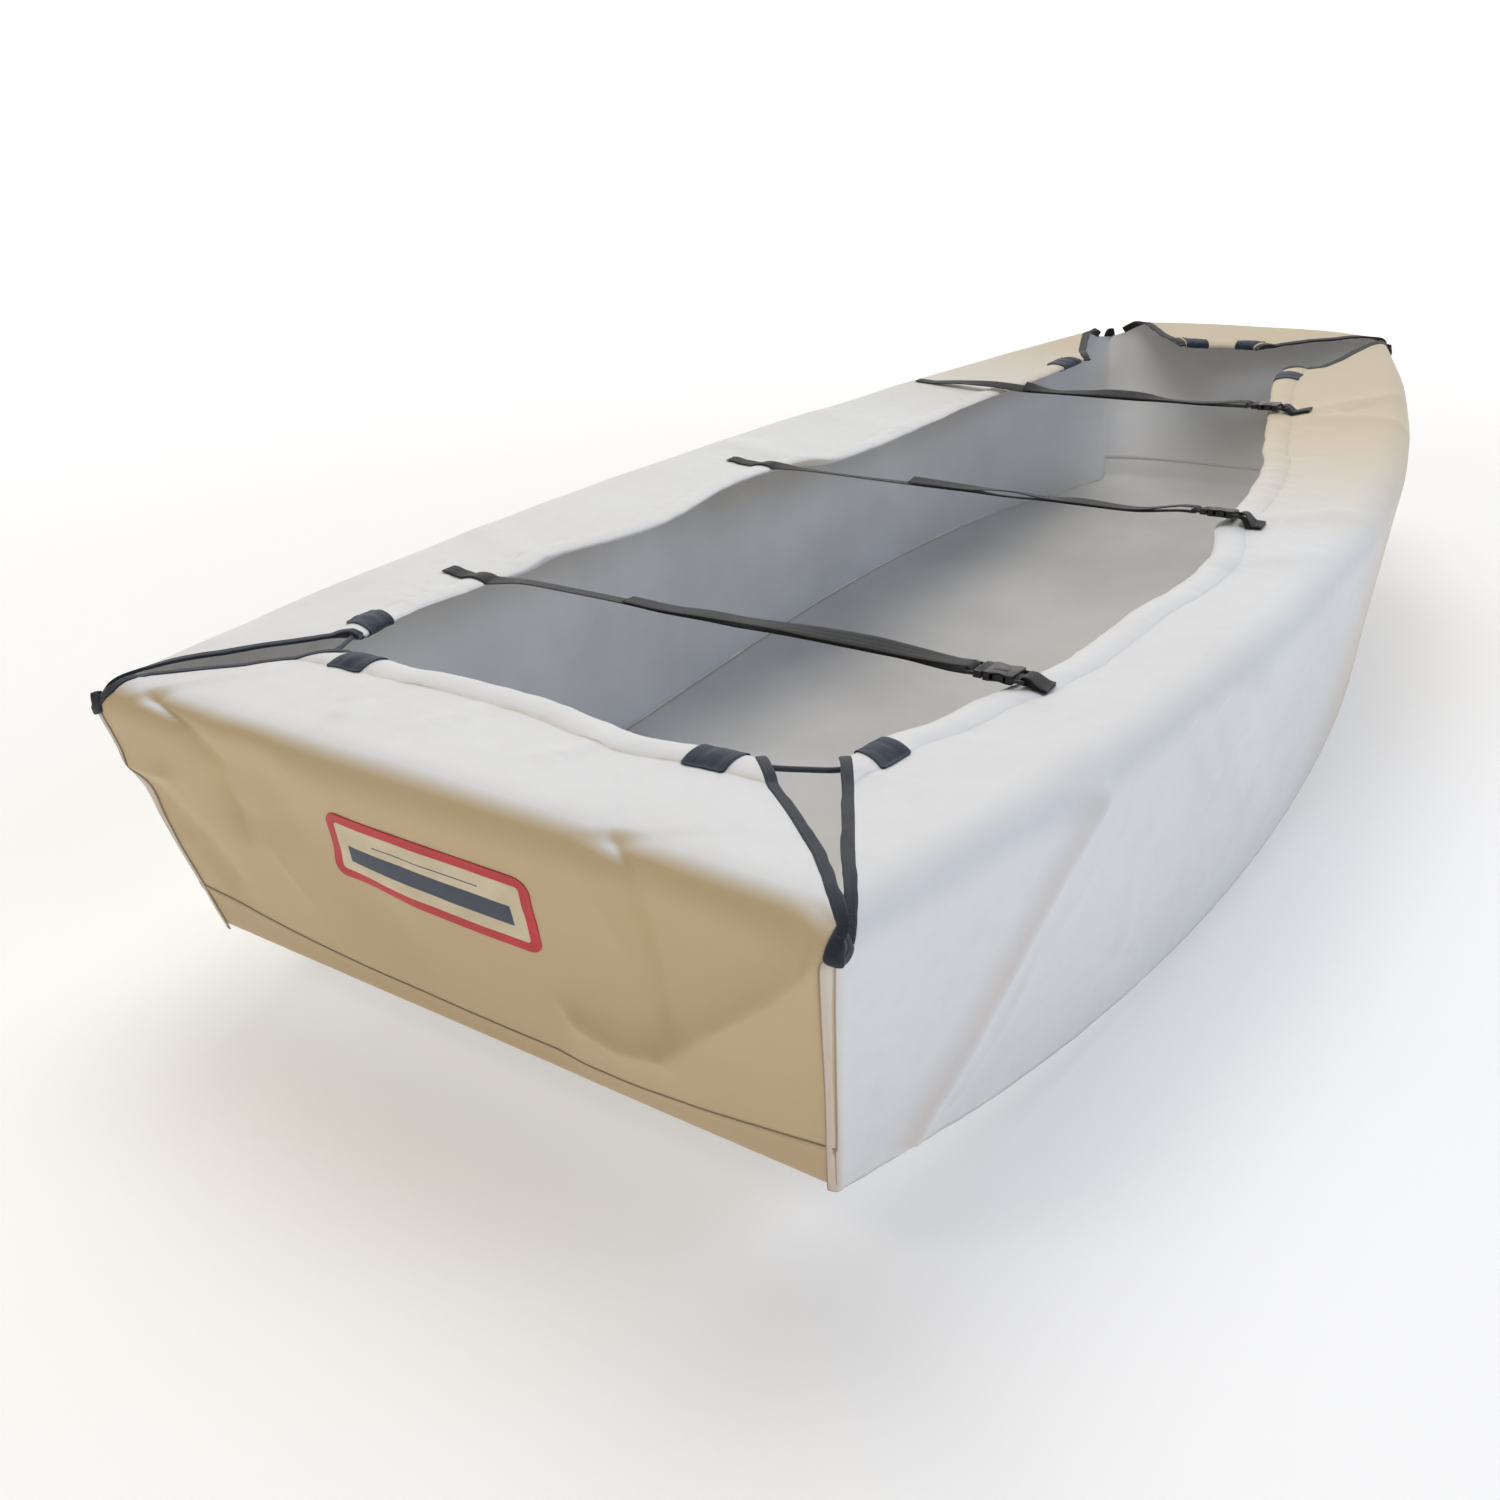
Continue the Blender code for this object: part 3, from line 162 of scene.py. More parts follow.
SPANS = {       # y, height above the gunwale plane, turn, gap to the tail, turn of the tail
    "aft": (
        (0.27, 0.009, -6, 0, 0), (0.2, 0.0095, -8, 0, 0), (0.118, 0.0088, -8, 0.0032, -2),
        (0.06, 0.0075, -5, 0.003, -2), (0.01, 0.008, -5, 0.0045, 0), (-0.035, 0.007, -8, 0.006, -2),
        (-0.085, 0.01, 0, 0.0045, 2), (-0.13, 0.0122, 10, 0.0028, 11), (-0.19, 0.0125, 14, 0.0026, 14),
        (-0.235, 0.011, 8, 0.0026, 8),
    ),
    "middle": (
        (0.27, -0.0008, -8, 0, 0), (0.18, -0.0014, -10, 0, 0), (0.095, -0.0012, -6, 0.0055, 10),
        (0.04, -0.0004, -2, 0.004, 6), (-0.005, -0.0008, -6, 0.004, 0), (-0.035, -0.0024, -12, 0.007, -11),
        (-0.07, -0.0024, -12, 0.0075, -12), (-0.11, -0.0004, -8, 0.003, -7), (-0.16, 0.0012, 0, 0.0028, 3),
        (-0.24, 0.001, -6, 0.0026, -5),
    ),
    "forward": (
        (0.38, 0.014, 2, 0, 0), (0.33, 0.0145, 6, 0, 0), (0.26, 0.016, 14, 0, 0),
        (0.2, 0.012, 16, 0.0045, 30), (0.15, 0.0088, 0, 0.0026, 3), (0.09, 0.0105, 9, 0.0026, 9),
        (0.045, 0.0123, 20, 0.0028, 20), (-0.01, 0.0118, 18, 0.0028, 18), (-0.06, 0.0085, -4, 0.0026, -4),
        (-0.12, 0.0085, -2, 0.0026, -2),
    ),
}
BAR, SLOT, BUCKLE_HALF, BUCKLE_THICK = 0.0036, 0.0080, 0.0165, 0.009
FRAME_HALF = 0.0018         # half the thickness of a buckle's frame
SIDES = {"port": 1, "starboard": -1}
STATIONS = {"stern": 0.0, "bow": 1.0}
INWARD = {"stern": 1, "bow": -1}
STERN_BLEND, BOW_BLEND = 0.45, 0.58
ROLL_RISE, ROLL_DEPTH = 0.0056, 0.0058      # how far the casing is puffed out and in
GATHER, PLEAT = 0.0015, 0.0115              # height and width of the hem's pleats
GRIDS = {       # columns of each panel, and rows of its hem, flange, turn and wall
    "port": (430, 12, 26, 14, 40), "starboard": (430, 12, 26, 14, 40),
    "stern": (230, 14, 30, 16, 52), "bow": (130, 12, 22, 12, 34),
}
BOTTOM_GRID = (120, 300)

# Folds of the cloth: a ridge, or a valley where height is negative, from one (along, down) place to
# another, with its half width and its height. A swell is soft, and a crease has a sharp crest.
SWELLS = {
    "starboard": mm(
        (170, 300, 350, 120, 24, 3), (461, 150, 477, 290, 24, 5.5), (539, 45, 655, 165, 18, -6),
        (616, 58, 804, 240, 22, -6.5), (700, 60, 900, 260, 26, 5), (1020, 60, 1000, 260, 60, -3),
        (1300, 60, 1330, 240, 50, 2.5), (1760, -160, 1900, -30, 26, 6.5), (1720, -160, 1720, -30, 26, 6),
        (1120, -160, 1190, -60, 26, 6.5), (940, -140, 1000, -60, 30, 4), (480, -185, 480, -150, 32, -4),
        (1105, -200, 1105, -165, 34, -4), (1750, -240, 1750, -205, 34, -3),
    ),
    "port": mm(
        (560, -180, 600, -60, 30, 4), (1140, -240, 1180, -80, 30, 6), (1400, -220, 1430, -70, 35, 4),
        (900, 80, 920, 240, 45, 4), (1500, 80, 1480, 240, 45, -4),
    ),
    "stern": mm(
        (200, 60, 80, 200, 50, -7), (400, 130, 330, 220, 28, -8), (170, -150, 140, -80, 16, 3),
        (50, -150, 60, -100, 14, 2.5), (-100, -150, -80, -110, 14, 2),
    ),
    "bow": mm(
        (-150, 30, -80, 180, 35, 5), (140, 50, 60, 200, 35, 5),
    ),
}
CREASES = {
    "starboard": mm(
        (520, 319, 602, 400, 10, 5), (208, 330, 262, 372, 10, 4.5), (4, 150, 60, 172, 6, -3),
        (4, 196, 50, 206, 6, -3.5), (4, 236, 60, 250, 6, 3),
    ),
    "stern": mm(
        (-156, 232, -180, 249, 6, 3), (-205, 60, -226, 120, 10, 2), (225, 150, 190, 215, 8, 2),
    ),
}
# Sharp-crested folds along lines of (along, down) places: the width of the slope to the left of
# the way and to its right, seen with down downwards and the stern's port side left, and the height.
CRESTS = {
    "stern": (
        (mm(
            (-440, 12), (-424, 34), (-375, 91), (-299, 165), (-249, 216), (-197, 228), (-163, 218),
            (-118, 206),
        ), 0.018, 0.048, 0.017),
        (mm(
            (-215, -30), (-248, 24), (-254, 79), (-251, 148), (-249, 216),
        ), 0.018, 0.042, -0.01),
        (mm(
            (368.5, -22), (299, 24), (265, 65), (274, 106), (263, 163),
        ), 0.022, 0.045, -0.013),
        (mm(
            (340, 94), (390, 101), (421, 99), (440, 72),
        ), 0.016, 0.016, 0.008),
    ),
    "starboard": (
        (mm(
            (341, 20), (279, 91), (224, 161), (176, 226), (122, 283), (80, 345),
        ), 0.026, 0.02, 0.014),
        (mm(
            (262, 160), (237, 216), (192, 255), (133, 312),
        ), 0.015, 0.015, 0.0085),
    ),
    "port": (
        (mm(
            (330, 40), (224, 161), (122, 283),
        ), 0.026, 0.022, 0.009),
    ),
}
CREST_ROUND = 0.0022
# Fans of tension wrinkles: place, first and last bearing, count, length, half width, height.
FANS = {
    "starboard": (
        (0.482, -0.125, -70, 70, 5, 0.08, 0.007, 0.0012), (1.104, -0.115, -75, 75, 5, 0.09, 0.008, 0.0014),
        (1.748, -0.13, -70, 80, 7, 0.12, 0.008, 0.0018),
    ),
    "port": (
        (0.47, -0.13, -70, 70, 5, 0.08, 0.007, 0.0012), (1.096, -0.14, -70, 70, 5, 0.1, 0.008, 0.0014),
    ),
}


# ---------------------------------------------------------------- curves and noise
def smooth(table, place, column=1):
    """Smooth curve through a table's rows, by its first column."""
    place, xs, ys = np.asarray(place, float), table[:, 0], table[:, column]
    index = np.arange(len(xs))
    low, high = np.maximum(index - 1, 0), np.minimum(index + 1, len(xs) - 1)
    slopes = (ys[high] - ys[low]) / (xs[high] - xs[low])
    k = np.clip(np.searchsorted(xs, place) - 1, 0, len(xs) - 2)
    run = xs[k + 1] - xs[k]
    s = np.clip((place - xs[k]) / run, -0.3, 1.3)
    from_low = (2 * s**3 - 3 * s**2 + 1) * ys[k] + (s**3 - 2 * s**2 + s) * run * slopes[k]
    return from_low + (3 * s**2 - 2 * s**3) * ys[k + 1] + (s**3 - s**2) * run * slopes[k + 1]


def straight(table, place, column):
    k = np.clip(np.searchsorted(table[:, 0], place) - 1, 0, len(table) - 2)
    s = (place - table[k, 0]) / (table[k + 1, 0] - table[k, 0])
    return table[k, column] + (table[k + 1, column] - table[k, column]) * s


def both(a, b):
    return np.broadcast_arrays(np.asarray(a, float), np.asarray(b, float))


LATTICES = {}


def noise(u, v=0.0, seed=0):
    """Smooth noise from -1 to 1 with one cell per unit."""
    u, v = both(u, v)
    if seed not in LATTICES:
        LATTICES[seed] = np.random.default_rng(seed).uniform(-1, 1, (256, 256))
    lattice = LATTICES[seed]
    i, j = np.floor(u).astype(int), np.floor(v).astype(int)
    a, b = u - i, v - j
    a, b = a * a * (3 - 2 * a), b * b * (3 - 2 * b)
    i, j, i1, j1 = i % 256, j % 256, (i + 1) % 256, (j + 1) % 256
    low = lattice[i, j] * (1 - a) + lattice[i1, j] * a
    high = lattice[i, j1] * (1 - a) + lattice[i1, j1] * a
    return low * (1 - b) + high * b


def unit(v):
    return v / np.maximum(np.linalg.norm(v, axis=-1, keepdims=True), 1e-12)


def ease(x):
    x = np.clip(x, 0, 1)
    return x * x * (3 - 2 * x)


def vec(x, y, z):
    return np.stack(np.broadcast_arrays(x, y, z), axis=-1).astype(float)


def arc(start, corner, end, t):
    """Curve from start to end that leaves and arrives towards the corner."""
    return start * (1 - t) ** 2 + corner * 2 * t * (1 - t) + end * t**2


def travelled(points):
    """Distance along a line of points, from its first one."""
    return np.concatenate([[0], np.cumsum(np.linalg.norm(np.diff(points, axis=0), axis=1))])


# ---------------------------------------------------------------- the cover's surfaces
def gunwale(station):
    return vec(LENGTH * station, smooth(OFFSETS, station, 1), smooth(OFFSETS, station, 2))


def chine(station):
    x = STERN_RAKE + BOTTOM_LENGTH * station
    return vec(x, smooth(OFFSETS, station, 3), smooth(OFFSETS, station, 4))


def wall_length(end):
    """Length of a transom's wall, from its edge to its foot."""
    return float(np.linalg.norm(chine(STATIONS[end]) - gunwale(STATIONS[end])))


def section(hem, edge, foot, depth):
    inward, down = unit(hem - edge), unit(foot - edge)
    d = np.asarray(depth)[..., None]
    t = np.clip((d / EDGE_ROUND + 1) / 2, 0, 1)
    turn = edge + inward * EDGE_ROUND * (1 - t) ** 2 + down * EDGE_ROUND * t**2
    wall_or_turn = np.where(d >= EDGE_ROUND, edge + down * d, turn)
    return np.where(d <= -EDGE_ROUND, edge - inward * d, wall_or_turn)


def crest(line, first, second, along, depth):
    """Height from 0 to 1 of a fold along a line, with its own slope on either side of it."""
    nearest, across = np.full(along.shape, 9.0), np.zeros(along.shape)
    place, total = np.zeros(along.shape), 0.0
    for start, end in zip(line, line[1:]):
        run = end - start
        length = np.hypot(*run)
        a, d = along - start[0], depth - start[1]
        t = np.clip((a * run[0] + d * run[1]) / length**2, 0, 1)
        off = np.hypot(a - t * run[0], d - t * run[1])
        closer = off < nearest
        nearest = np.where(closer, off, nearest)
        across = np.where(closer, run[0] * d - run[1] * a, across)
        place = np.where(closer, total + t * length, place)
        total += length
    rounded = np.sqrt(nearest**2 + CREST_ROUND**2) - CREST_ROUND
    fade = ease((place + 0.012) / 0.03) * ease((total - place + 0.006) / 0.05)
    return fade * np.exp(-rounded / np.where(across < 0, first, second))


class Cloth:
    """One side or transom panel as a surface over (along, depth)."""

    def __init__(self, name, seed):
        self.name, self.seed = name, seed
        self.is_side = name in SIDES

    def lines(self, along):
        """Hem, edge and foot of the section at a place."""
        # the inner edge wanders a little, as a gathered hem does
        seed = 3 if self.is_side else 5
        wander = 0.0012 * noise(along / 0.035, 0, seed) + 0.0007 * noise(along / 0.014, 0, seed + 1)
        hem = smooth(HEM_LINES[self.name], along) + wander
        if self.is_side:
            side = np.array([1, SIDES[self.name], 1])
            edge, foot = gunwale(along / LENGTH) * side, chine(along / LENGTH) * side
            return vec(along, SIDES[self.name] * hem, edge[..., 2] - HEM_DROP), edge, foot
        top, foot = gunwale(STATIONS[self.name]), chine(STATIONS[self.name])
        share = along / top[1]
        at_bow = self.name == "bow"
        camber = BOW_CAMBER * at_bow * (1 - share * share)
        edge = vec(top[0] + camber, along, top[2] + BOW_CROWN * at_bow * (1 - share**4))
        hem = vec(top[0] + hem * INWARD[self.name], along, top[2] - HEM_DROP)
        return hem, edge, vec(foot[0] + camber / 2, along, foot[2])

    def reach(self, along):
        hem, edge, _ = self.lines(np.asarray(along, float))
        return np.linalg.norm(hem - edge, axis=-1)

    def fall(self, along):
        _, edge, foot = self.lines(np.asarray(along, float))
        return np.linalg.norm(foot - edge, axis=-1)

    def base(self, along, depth):
        along, depth = both(along, depth)
        return section(*self.lines(along), depth)

    def normal(self, along, depth):
        e = 0.002
        a = self.base(along + e, depth) - self.base(along - e, depth)
        d = self.base(along, depth + e) - self.base(along, depth - e)
        n = unit(np.cross(a, d))
        outward = [0.0, SIDES[self.name], 0.6] if self.is_side else [-INWARD[self.name], 0.0, 0.6]
        return n * np.sign(n @ np.array(outward))[..., None]

    def room(self, along):
        """Distance to the nearer end of the panel, at its corners."""
        if self.is_side:
            return np.minimum(along, LENGTH - along)
        return gunwale(STATIONS[self.name])[1] - np.abs(along)

    def folds(self, along, depth):
        h = np.zeros(along.shape)
        for sharp, table in ((False, SWELLS), (True, CREASES)):
            for a0, d0, a1, d1, width, rise in table.get(self.name, ()):
                run = np.array([a1 - a0, d1 - d0])
                t = np.clip(((along - a0) * run[0] + (depth - d0) * run[1]) / (run @ run), 0, 1)
                wiggle = 0.25 * width * noise(t * 5 + a0 * 50, 0, 9)
                off = np.hypot(along - a0 - t * run[0] + wiggle, depth - d0 - t * run[1]) / width
                if sharp:
                    h += rise * np.exp(-off) * np.sin(np.pi * np.clip(t * 0.9 + 0.05, 0, 1)) ** 0.5
                else:
                    h += rise * np.exp(-(off**2))
        for line, first, second, rise in CRESTS.get(self.name, ()):
            h += rise * crest(line, first, second, along, depth)
        return h

    def fans(self, along, depth):
        h = np.zeros(along.shape)
        for a0, d0, first, last, count, length, width, rise in FANS.get(self.name, ()):
            for k in range(count):
                turn = math.radians(first + (last - first) * k / (count - 1) + 7 * noise(k * 1.7, 0, 11))
                run = np.array([math.sin(turn), math.cos(turn)])
                t = (along - a0) * run[0] + (depth - d0) * run[1]
                off = np.abs((along - a0) * run[1] - (depth - d0) * run[0])
                reach = length * (0.7 + 0.5 * abs(float(noise(k * 2.3, 0, 12))))
                fade = ease(t / 0.012) * ease((reach - t) / (reach * 0.8))
                h += rise * fade * np.exp(-((off / (width * (0.6 + t.clip(0) / reach))) ** 2))
        return h

    def height(self, along, depth):
        """Folds, gathers and unevenness above the even surface."""
        fall, room = self.fall(along), self.room(along)
        h = self.folds(along, depth) * np.clip(room / 0.03, 0, 1) * np.clip((fall - depth) / 0.02, 0, 1)
        h += self.fans(along, depth)
        # broad unevenness of cloth over a hull
        calm = np.clip(room / 0.10, 0.15, 1) * np.clip((fall - depth) / 0.06, 0.1, 1)
        broad = 0.0016 * noise(along / 0.19, depth / 0.16, self.seed)
        h += calm * (broad + 0.0007 * noise(along / 0.07, depth / 0.08, self.seed + 1))
        h += self.gathers(along, depth, depth + self.reach(along))
        return h + self.puckers(along, depth, fall, room)

    def gathers(self, along, depth, from_hem):
        """Pleats that the elastic draws into the casing, dying out across the flange."""
        bend = along + 0.10 * from_hem * noise(along / 0.05, 0, self.seed + 2)
        pleat = noise(bend / PLEAT, from_hem / 0.09, self.seed + 3)
        pleat = pleat + 0.6 * noise(bend / 0.024, from_hem / 0.14, self.seed + 4)
        strong = 0.55 + 0.45 * noise(along / 0.12, 0, self.seed + 5)
        past = from_hem - HEM_WIDTH
        on_roll = np.exp(-((past / 0.016) ** 2)) * 0.9 + 0.55
        size = np.where(past < 0, on_roll, np.exp(-np.clip(past, 0, None) / 0.030))
        size = size * np.clip(from_hem / 0.006, 0.25, 1) * (depth < EDGE_ROUND)
        return GATHER * pleat * strong * size

    def puckers(self, along, depth, fall, room):
        """Small drawn wrinkles beside the seams at the foot and at the corners."""
        foot = np.exp(-np.clip(fall - depth, 0, None) / 0.022)
        h = 0.0005 * foot * noise(along / 0.016, depth / 0.05, self.seed + 6)
        corner = np.exp(-np.clip(room, 0, None) / 0.022) * (depth > TIP)
        return h + 0.0006 * corner * noise(depth / 0.014, along / 0.04, self.seed + 7)

    def roll(self, from_hem):
        """(rise, depth) of the puffed casing."""
        s = np.clip(from_hem / HEM_WIDTH, 0, 1)
        bulge = np.clip(4 * s * (1 - s), 0, 1) ** (0.5 + 0.5 * s) * (1 - 0.25 * s)
        return ROLL_RISE * bulge, ROLL_DEPTH * bulge + CLOTH * ease(s * 3)

    def outer(self, along, depth, lift=0.0):
        along, depth = both(along, depth)
        h = self.roll(depth + self.reach(along))[0] + self.height(along, depth) + lift
        return self.base(along, depth) + self.normal(along, depth) * h[..., None]

    def inner(self, along, depth):
        along, depth = both(along, depth)
        from_hem = depth + self.reach(along)
        h = self.height(along, depth) * np.clip(from_hem / HEM_WIDTH, 0, 1) - self.roll(from_hem)[1]
        return self.base(along, depth) + self.normal(along, depth) * h[..., None]


CLOTHS = {name: Cloth(name, 17 * (k + 1)) for k, name in enumerate(("starboard", "port", "stern", "bow"))}


def notch_place(side, end, of_side, depth):
    """Place along a panel of its notch's edge at a depth."""
    if of_side:
        start = straight(NOTCHES[(side, end)], depth, 1)
        return start if end == "stern" else LENGTH - start
    return straight(NOTCHES[(side, end)], depth, 2) * SIDES[side]


def settled(value, step):
    """A value that the step leaves as it is, found by repeating the step."""
    for _ in range(25):
        value = step(value)
    return value


def notch_edge(side, end, of_side, share):
    """(along, depth) of a notch's cloth edge, for shares of the way from its tip to the hem."""

    def step(depth):
        along = notch_place(side, end, of_side, depth)
        return TIP - (CLOTHS[side if of_side else end].reach(along) + TIP) * share

    depth = settled(np.full(share.shape, -0.1), step)
    return notch_place(side, end, of_side, depth), depth


def wall_half(end, depth):
    top, bottom = gunwale(STATIONS[end]), chine(STATIONS[end])
    return top[1] + (bottom[1] - top[1]) * depth / np.linalg.norm(bottom - top) - CORNER_INSET


def seam_rise(end, share):
    return 0.030 + 0.028 * share * share if end == "stern" else 0.045 + 0.0 * share


def row_shares(hem, flange, turn, wall):
    """Rows of a panel from its hem to its foot, as (part, share of that part)."""
    rows = [("hem", (1 - math.cos(math.pi * k / hem)) / 2) for k in range(hem)]
    for part, count in (("flange", flange), ("turn", turn), ("wall", wall)):
        rows += [(part, k / count) for k in range(count)]
    return rows + [("wall", 1.0)]


def row_depth(part, share, reach, fall):
    if part == "hem":
        return HEM_WIDTH * share - reach
    if part == "flange":
        return -(reach - HEM_WIDTH) + (reach - HEM_WIDTH - EDGE_ROUND) * share
    if part == "turn":
        return EDGE_ROUND * (2 * share - 1)
    return EDGE_ROUND + (fall - EDGE_ROUND) * share


# ---------------------------------------------------------------- meshes
def linked(name, data):
    obj = bpy.data.objects.new(name, data)
    bpy.context.scene.collection.objects.link(obj)
    return obj


def handed_in(obj, node=None):
    """Attach a piece to the root body, and hide the CAD node that it replaces."""
    if node:
        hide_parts(node)
    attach(obj, "root")
    return obj


def made(name, verts, faces, materials, uv, attributes=None, slots=None):
    mesh = bpy.data.meshes.new(name)
    mesh.from_pydata((verts - ORIGIN).tolist(), [], [tuple(int(i) for i in f) for f in faces])
    for material in materials:
        mesh.materials.append(material)
    if slots is not None:
        mesh.polygons.foreach_set("material_index", slots.astype(np.int32))
    loops = np.empty(len(mesh.loops), np.int32)
    mesh.loops.foreach_get("vertex_index", loops)
    mesh.uv_layers.new(name="cloth").data.foreach_set("uv", uv.astype(np.float32)[loops].ravel())
    for key, values in (attributes or {}).items():
        mesh.attributes.new(key, "FLOAT", "POINT").data.foreach_set("value", values.astype(np.float32))
    mesh.polygons.foreach_set("use_smooth", np.ones(len(mesh.polygons), bool))
    mesh.update()
    return linked(name, mesh)


def grid_faces(rows, columns, wrap=False):
    i, j = np.meshgrid(np.arange(rows - 1), np.arange(columns if wrap else columns - 1), indexing="ij")
    here, beside = i * columns + j, i * columns + (j + 1) % columns
    return np.stack([here, beside, beside + columns, here + columns], -1).reshape(-1, 4)


def inside_out(verts, quads):
    a, b, c, d = (verts[quads[:, k]] for k in range(4))
    return np.einsum("ij,ij->", a, np.cross(b, c) + np.cross(c, d)) < 0


def sheet_mesh(name, top, under, materials, across, down, attributes=None):
    """Closed sheet between two grids of points with the same rows and columns."""
    rows, columns = top.shape[:2]
    n = rows * columns
    rim = [(0, j) for j in range(columns)] + [(i, columns - 1) for i in range(1, rows)]
    rim += [(rows - 1, j) for j in range(columns - 2, -1, -1)] + [(i, 0) for i in range(rows - 2, 0, -1)]
    rim = np.array([i * columns + j for i, j in rim])
    after = np.roll(rim, -1)
    ring = np.stack([after, rim, rim + n, after + n], -1)
    faces = grid_faces(rows, columns)
    faces = np.concatenate([faces, faces[:, ::-1] + n, ring])
    verts = np.concatenate([top.reshape(-1, 3), under.reshape(-1, 3)])
    slots = np.zeros(len(faces))
    slots[(rows - 1) * (columns - 1) : -len(ring)] = len(materials) - 1
    if inside_out(verts, faces):
        faces = faces[:, ::-1]
    uv = np.tile(np.stack([across, down], -1).reshape(-1, 2), (2, 1))
    doubled = {key: np.tile(values.ravel(), 2) for key, values in (attributes or {}).items()}
    return made(name, verts, faces, materials, uv, doubled, slots)


def lengths(points, axis):
    """Distance along a grid's rows or columns, from its first one."""
    steps = np.linalg.norm(np.diff(points, axis=axis), axis=-1)
    return np.cumsum(np.insert(steps, 0, 0, axis=axis), axis=axis)


def surface_area(points):
    a = points[1:, :-1] - points[:-1, :-1]
    b = points[:-1, 1:] - points[:-1, :-1]
    return float(np.linalg.norm(np.cross(a, b), axis=-1).sum())


def grid_normals(points):
    return unit(np.cross(np.gradient(points, axis=0), np.gradient(points, axis=1)))


# ---------------------------------------------------------------- materials
def srgb(r, g, b):
    shares = (c / 255 for c in (r, g, b))
    return (*(c / 12.92 if c <= 0.04045 else ((c + 0.055) / 1.055) ** 2.4 for c in shares), 1.0)


def brighter(colour, factor):
    return (*(c * factor for c in colour[:3]), 1)


class Nodes:
    """A little shorthand for building a node tree."""

    def __init__(self, name):
        self.material = bpy.data.materials.new(name)
        self.material.use_nodes = True
        self.tree = self.material.node_tree
        self.shader = self.tree.nodes["Principled BSDF"]

    def add(self, kind, inputs, **settings):
        node = self.tree.nodes.new("ShaderNode" + kind)
        for key, value in settings.items():
            setattr(node, key, value)
        for key, value in inputs.items():
            self.put(node.inputs[key], value)
        return node

    def put(self, socket, value):
        if isinstance(value, bpy.types.NodeSocket):
            self.tree.links.new(value, socket)
        else:
            socket.default_value = value

    def math(self, operation, a, b=0.0, c=0.0):
        return self.add("Math", {0: a, 1: b, 2: c}, operation=operation).outputs[0]

    def times(self, a, b):
        return self.math("MULTIPLY", a, b)

    def apart(self, a, b):
        return self.math("ABSOLUTE", self.math("SUBTRACT", a, b))

    def mix(self, share, a, b):
        return self.add("Mix", {0: share, 6: a, 7: b}, data_type="RGBA", blend_type="MIX").outputs[2]

    def stain(self, tint, mask, share, colour):
        """The tint with a share of another colour where the mask is 1."""
        return self.mix(self.times(mask, share), tint, colour)

    def uv(self):
        node = self.add("UVMap", {}, uv_map="cloth")
        return self.add("SeparateXYZ", {0: node.outputs[0]}).outputs[:2]

    def object_place(self):
        return self.add("TexCoord", {}).outputs["Object"]

    def object_x(self, output):
        """The x of a point of the object, or of its normal."""
        return self.add("SeparateXYZ", {0: self.add("TexCoord", {}).outputs[output]}).outputs[0]

    def attribute(self, name):
        return self.add("Attribute", {}, attribute_name=name).outputs["Fac"]

    def noise(self, vector, scale, detail=2.0, roughness=0.5):
        inputs = {"Vector": vector, "Scale": scale, "Detail": detail, "Roughness": roughness}
        return self.add("TexNoise", inputs).outputs["Fac"]

    def wave(self, place, pitch):
        """A ripple from 0 to 1 with one crest every pitch."""
        turns = self.times(place, 2 * math.pi / pitch)
        return self.math("MULTIPLY_ADD", self.math("SINE", turns), 0.5, 0.5)

    def weave(self, u, v, pitch):
        return self.times(self.wave(u, pitch), self.wave(v, pitch))

    def ramp(self, value, low, high):
        """From 0 at low to 1 at high, and even beyond them."""
        inputs = {"Value": value, "From Min": low, "From Max": high}
        return self.add("MapRange", inputs, clamp=True).outputs[0]

    def mottled(self, place, scale, low, high, colour, other):
        return self.mix(self.ramp(self.noise(place, scale, 3.0), low, high), colour, other)

    def bump(self, height, distance, strength, normal=None):
        inputs = {"Height": height, "Distance": distance, "Strength": strength}
        if normal is not None:
            inputs["Normal"] = normal
        return self.add("Bump", inputs).outputs[0]

    def finish(self, colour, roughness, normal=None, **constants):
        self.put(self.shader.inputs["Base Color"], colour)
        self.put(self.shader.inputs["Roughness"], roughness)
        if normal is not None:
            self.put(self.shader.inputs["Normal"], normal)
        for key, value in constants.items():
            self.shader.inputs[key.replace("_", " ")].default_value = value
        return self.material


def stitches(n, across, along, rows, pitch=0.0034, half=0.00042):
    """Thread in rows at set distances across, as dashes along the seam: a mask from 0 to 1."""
    mask = None
    dash = n.ramp(n.wave(along, pitch), 0.22, 0.42)
    for row in rows:
        line = n.times(n.ramp(n.apart(across, row), half, half * 0.45), dash)
        mask = line if mask is None else n.math("MAXIMUM", mask, line)
    return mask


CLOTH_WHITE = (0.790, 0.790, 0.785, 1)
CLOTH_SHADE = (0.760, 0.755, 0.745, 1)
# painted warm shade: the next three colours tint cloth that faces aft and stand in for its dim warm light
STERN_PAINTED_WARM_SHADE = (0.600, 0.465, 0.262, 1)
FOOT_PAINTED_WARM_SHADE = (0.570, 0.425, 0.235, 1)
LAP_PAINTED_WARM_SHADE = (0.700, 0.600, 0.500, 1)
BOW_CREAM = (0.700, 0.585, 0.410, 1)
SEAM_ROWS = (0.0030, 0.0095)
WEAVE_PITCH = 0.0011


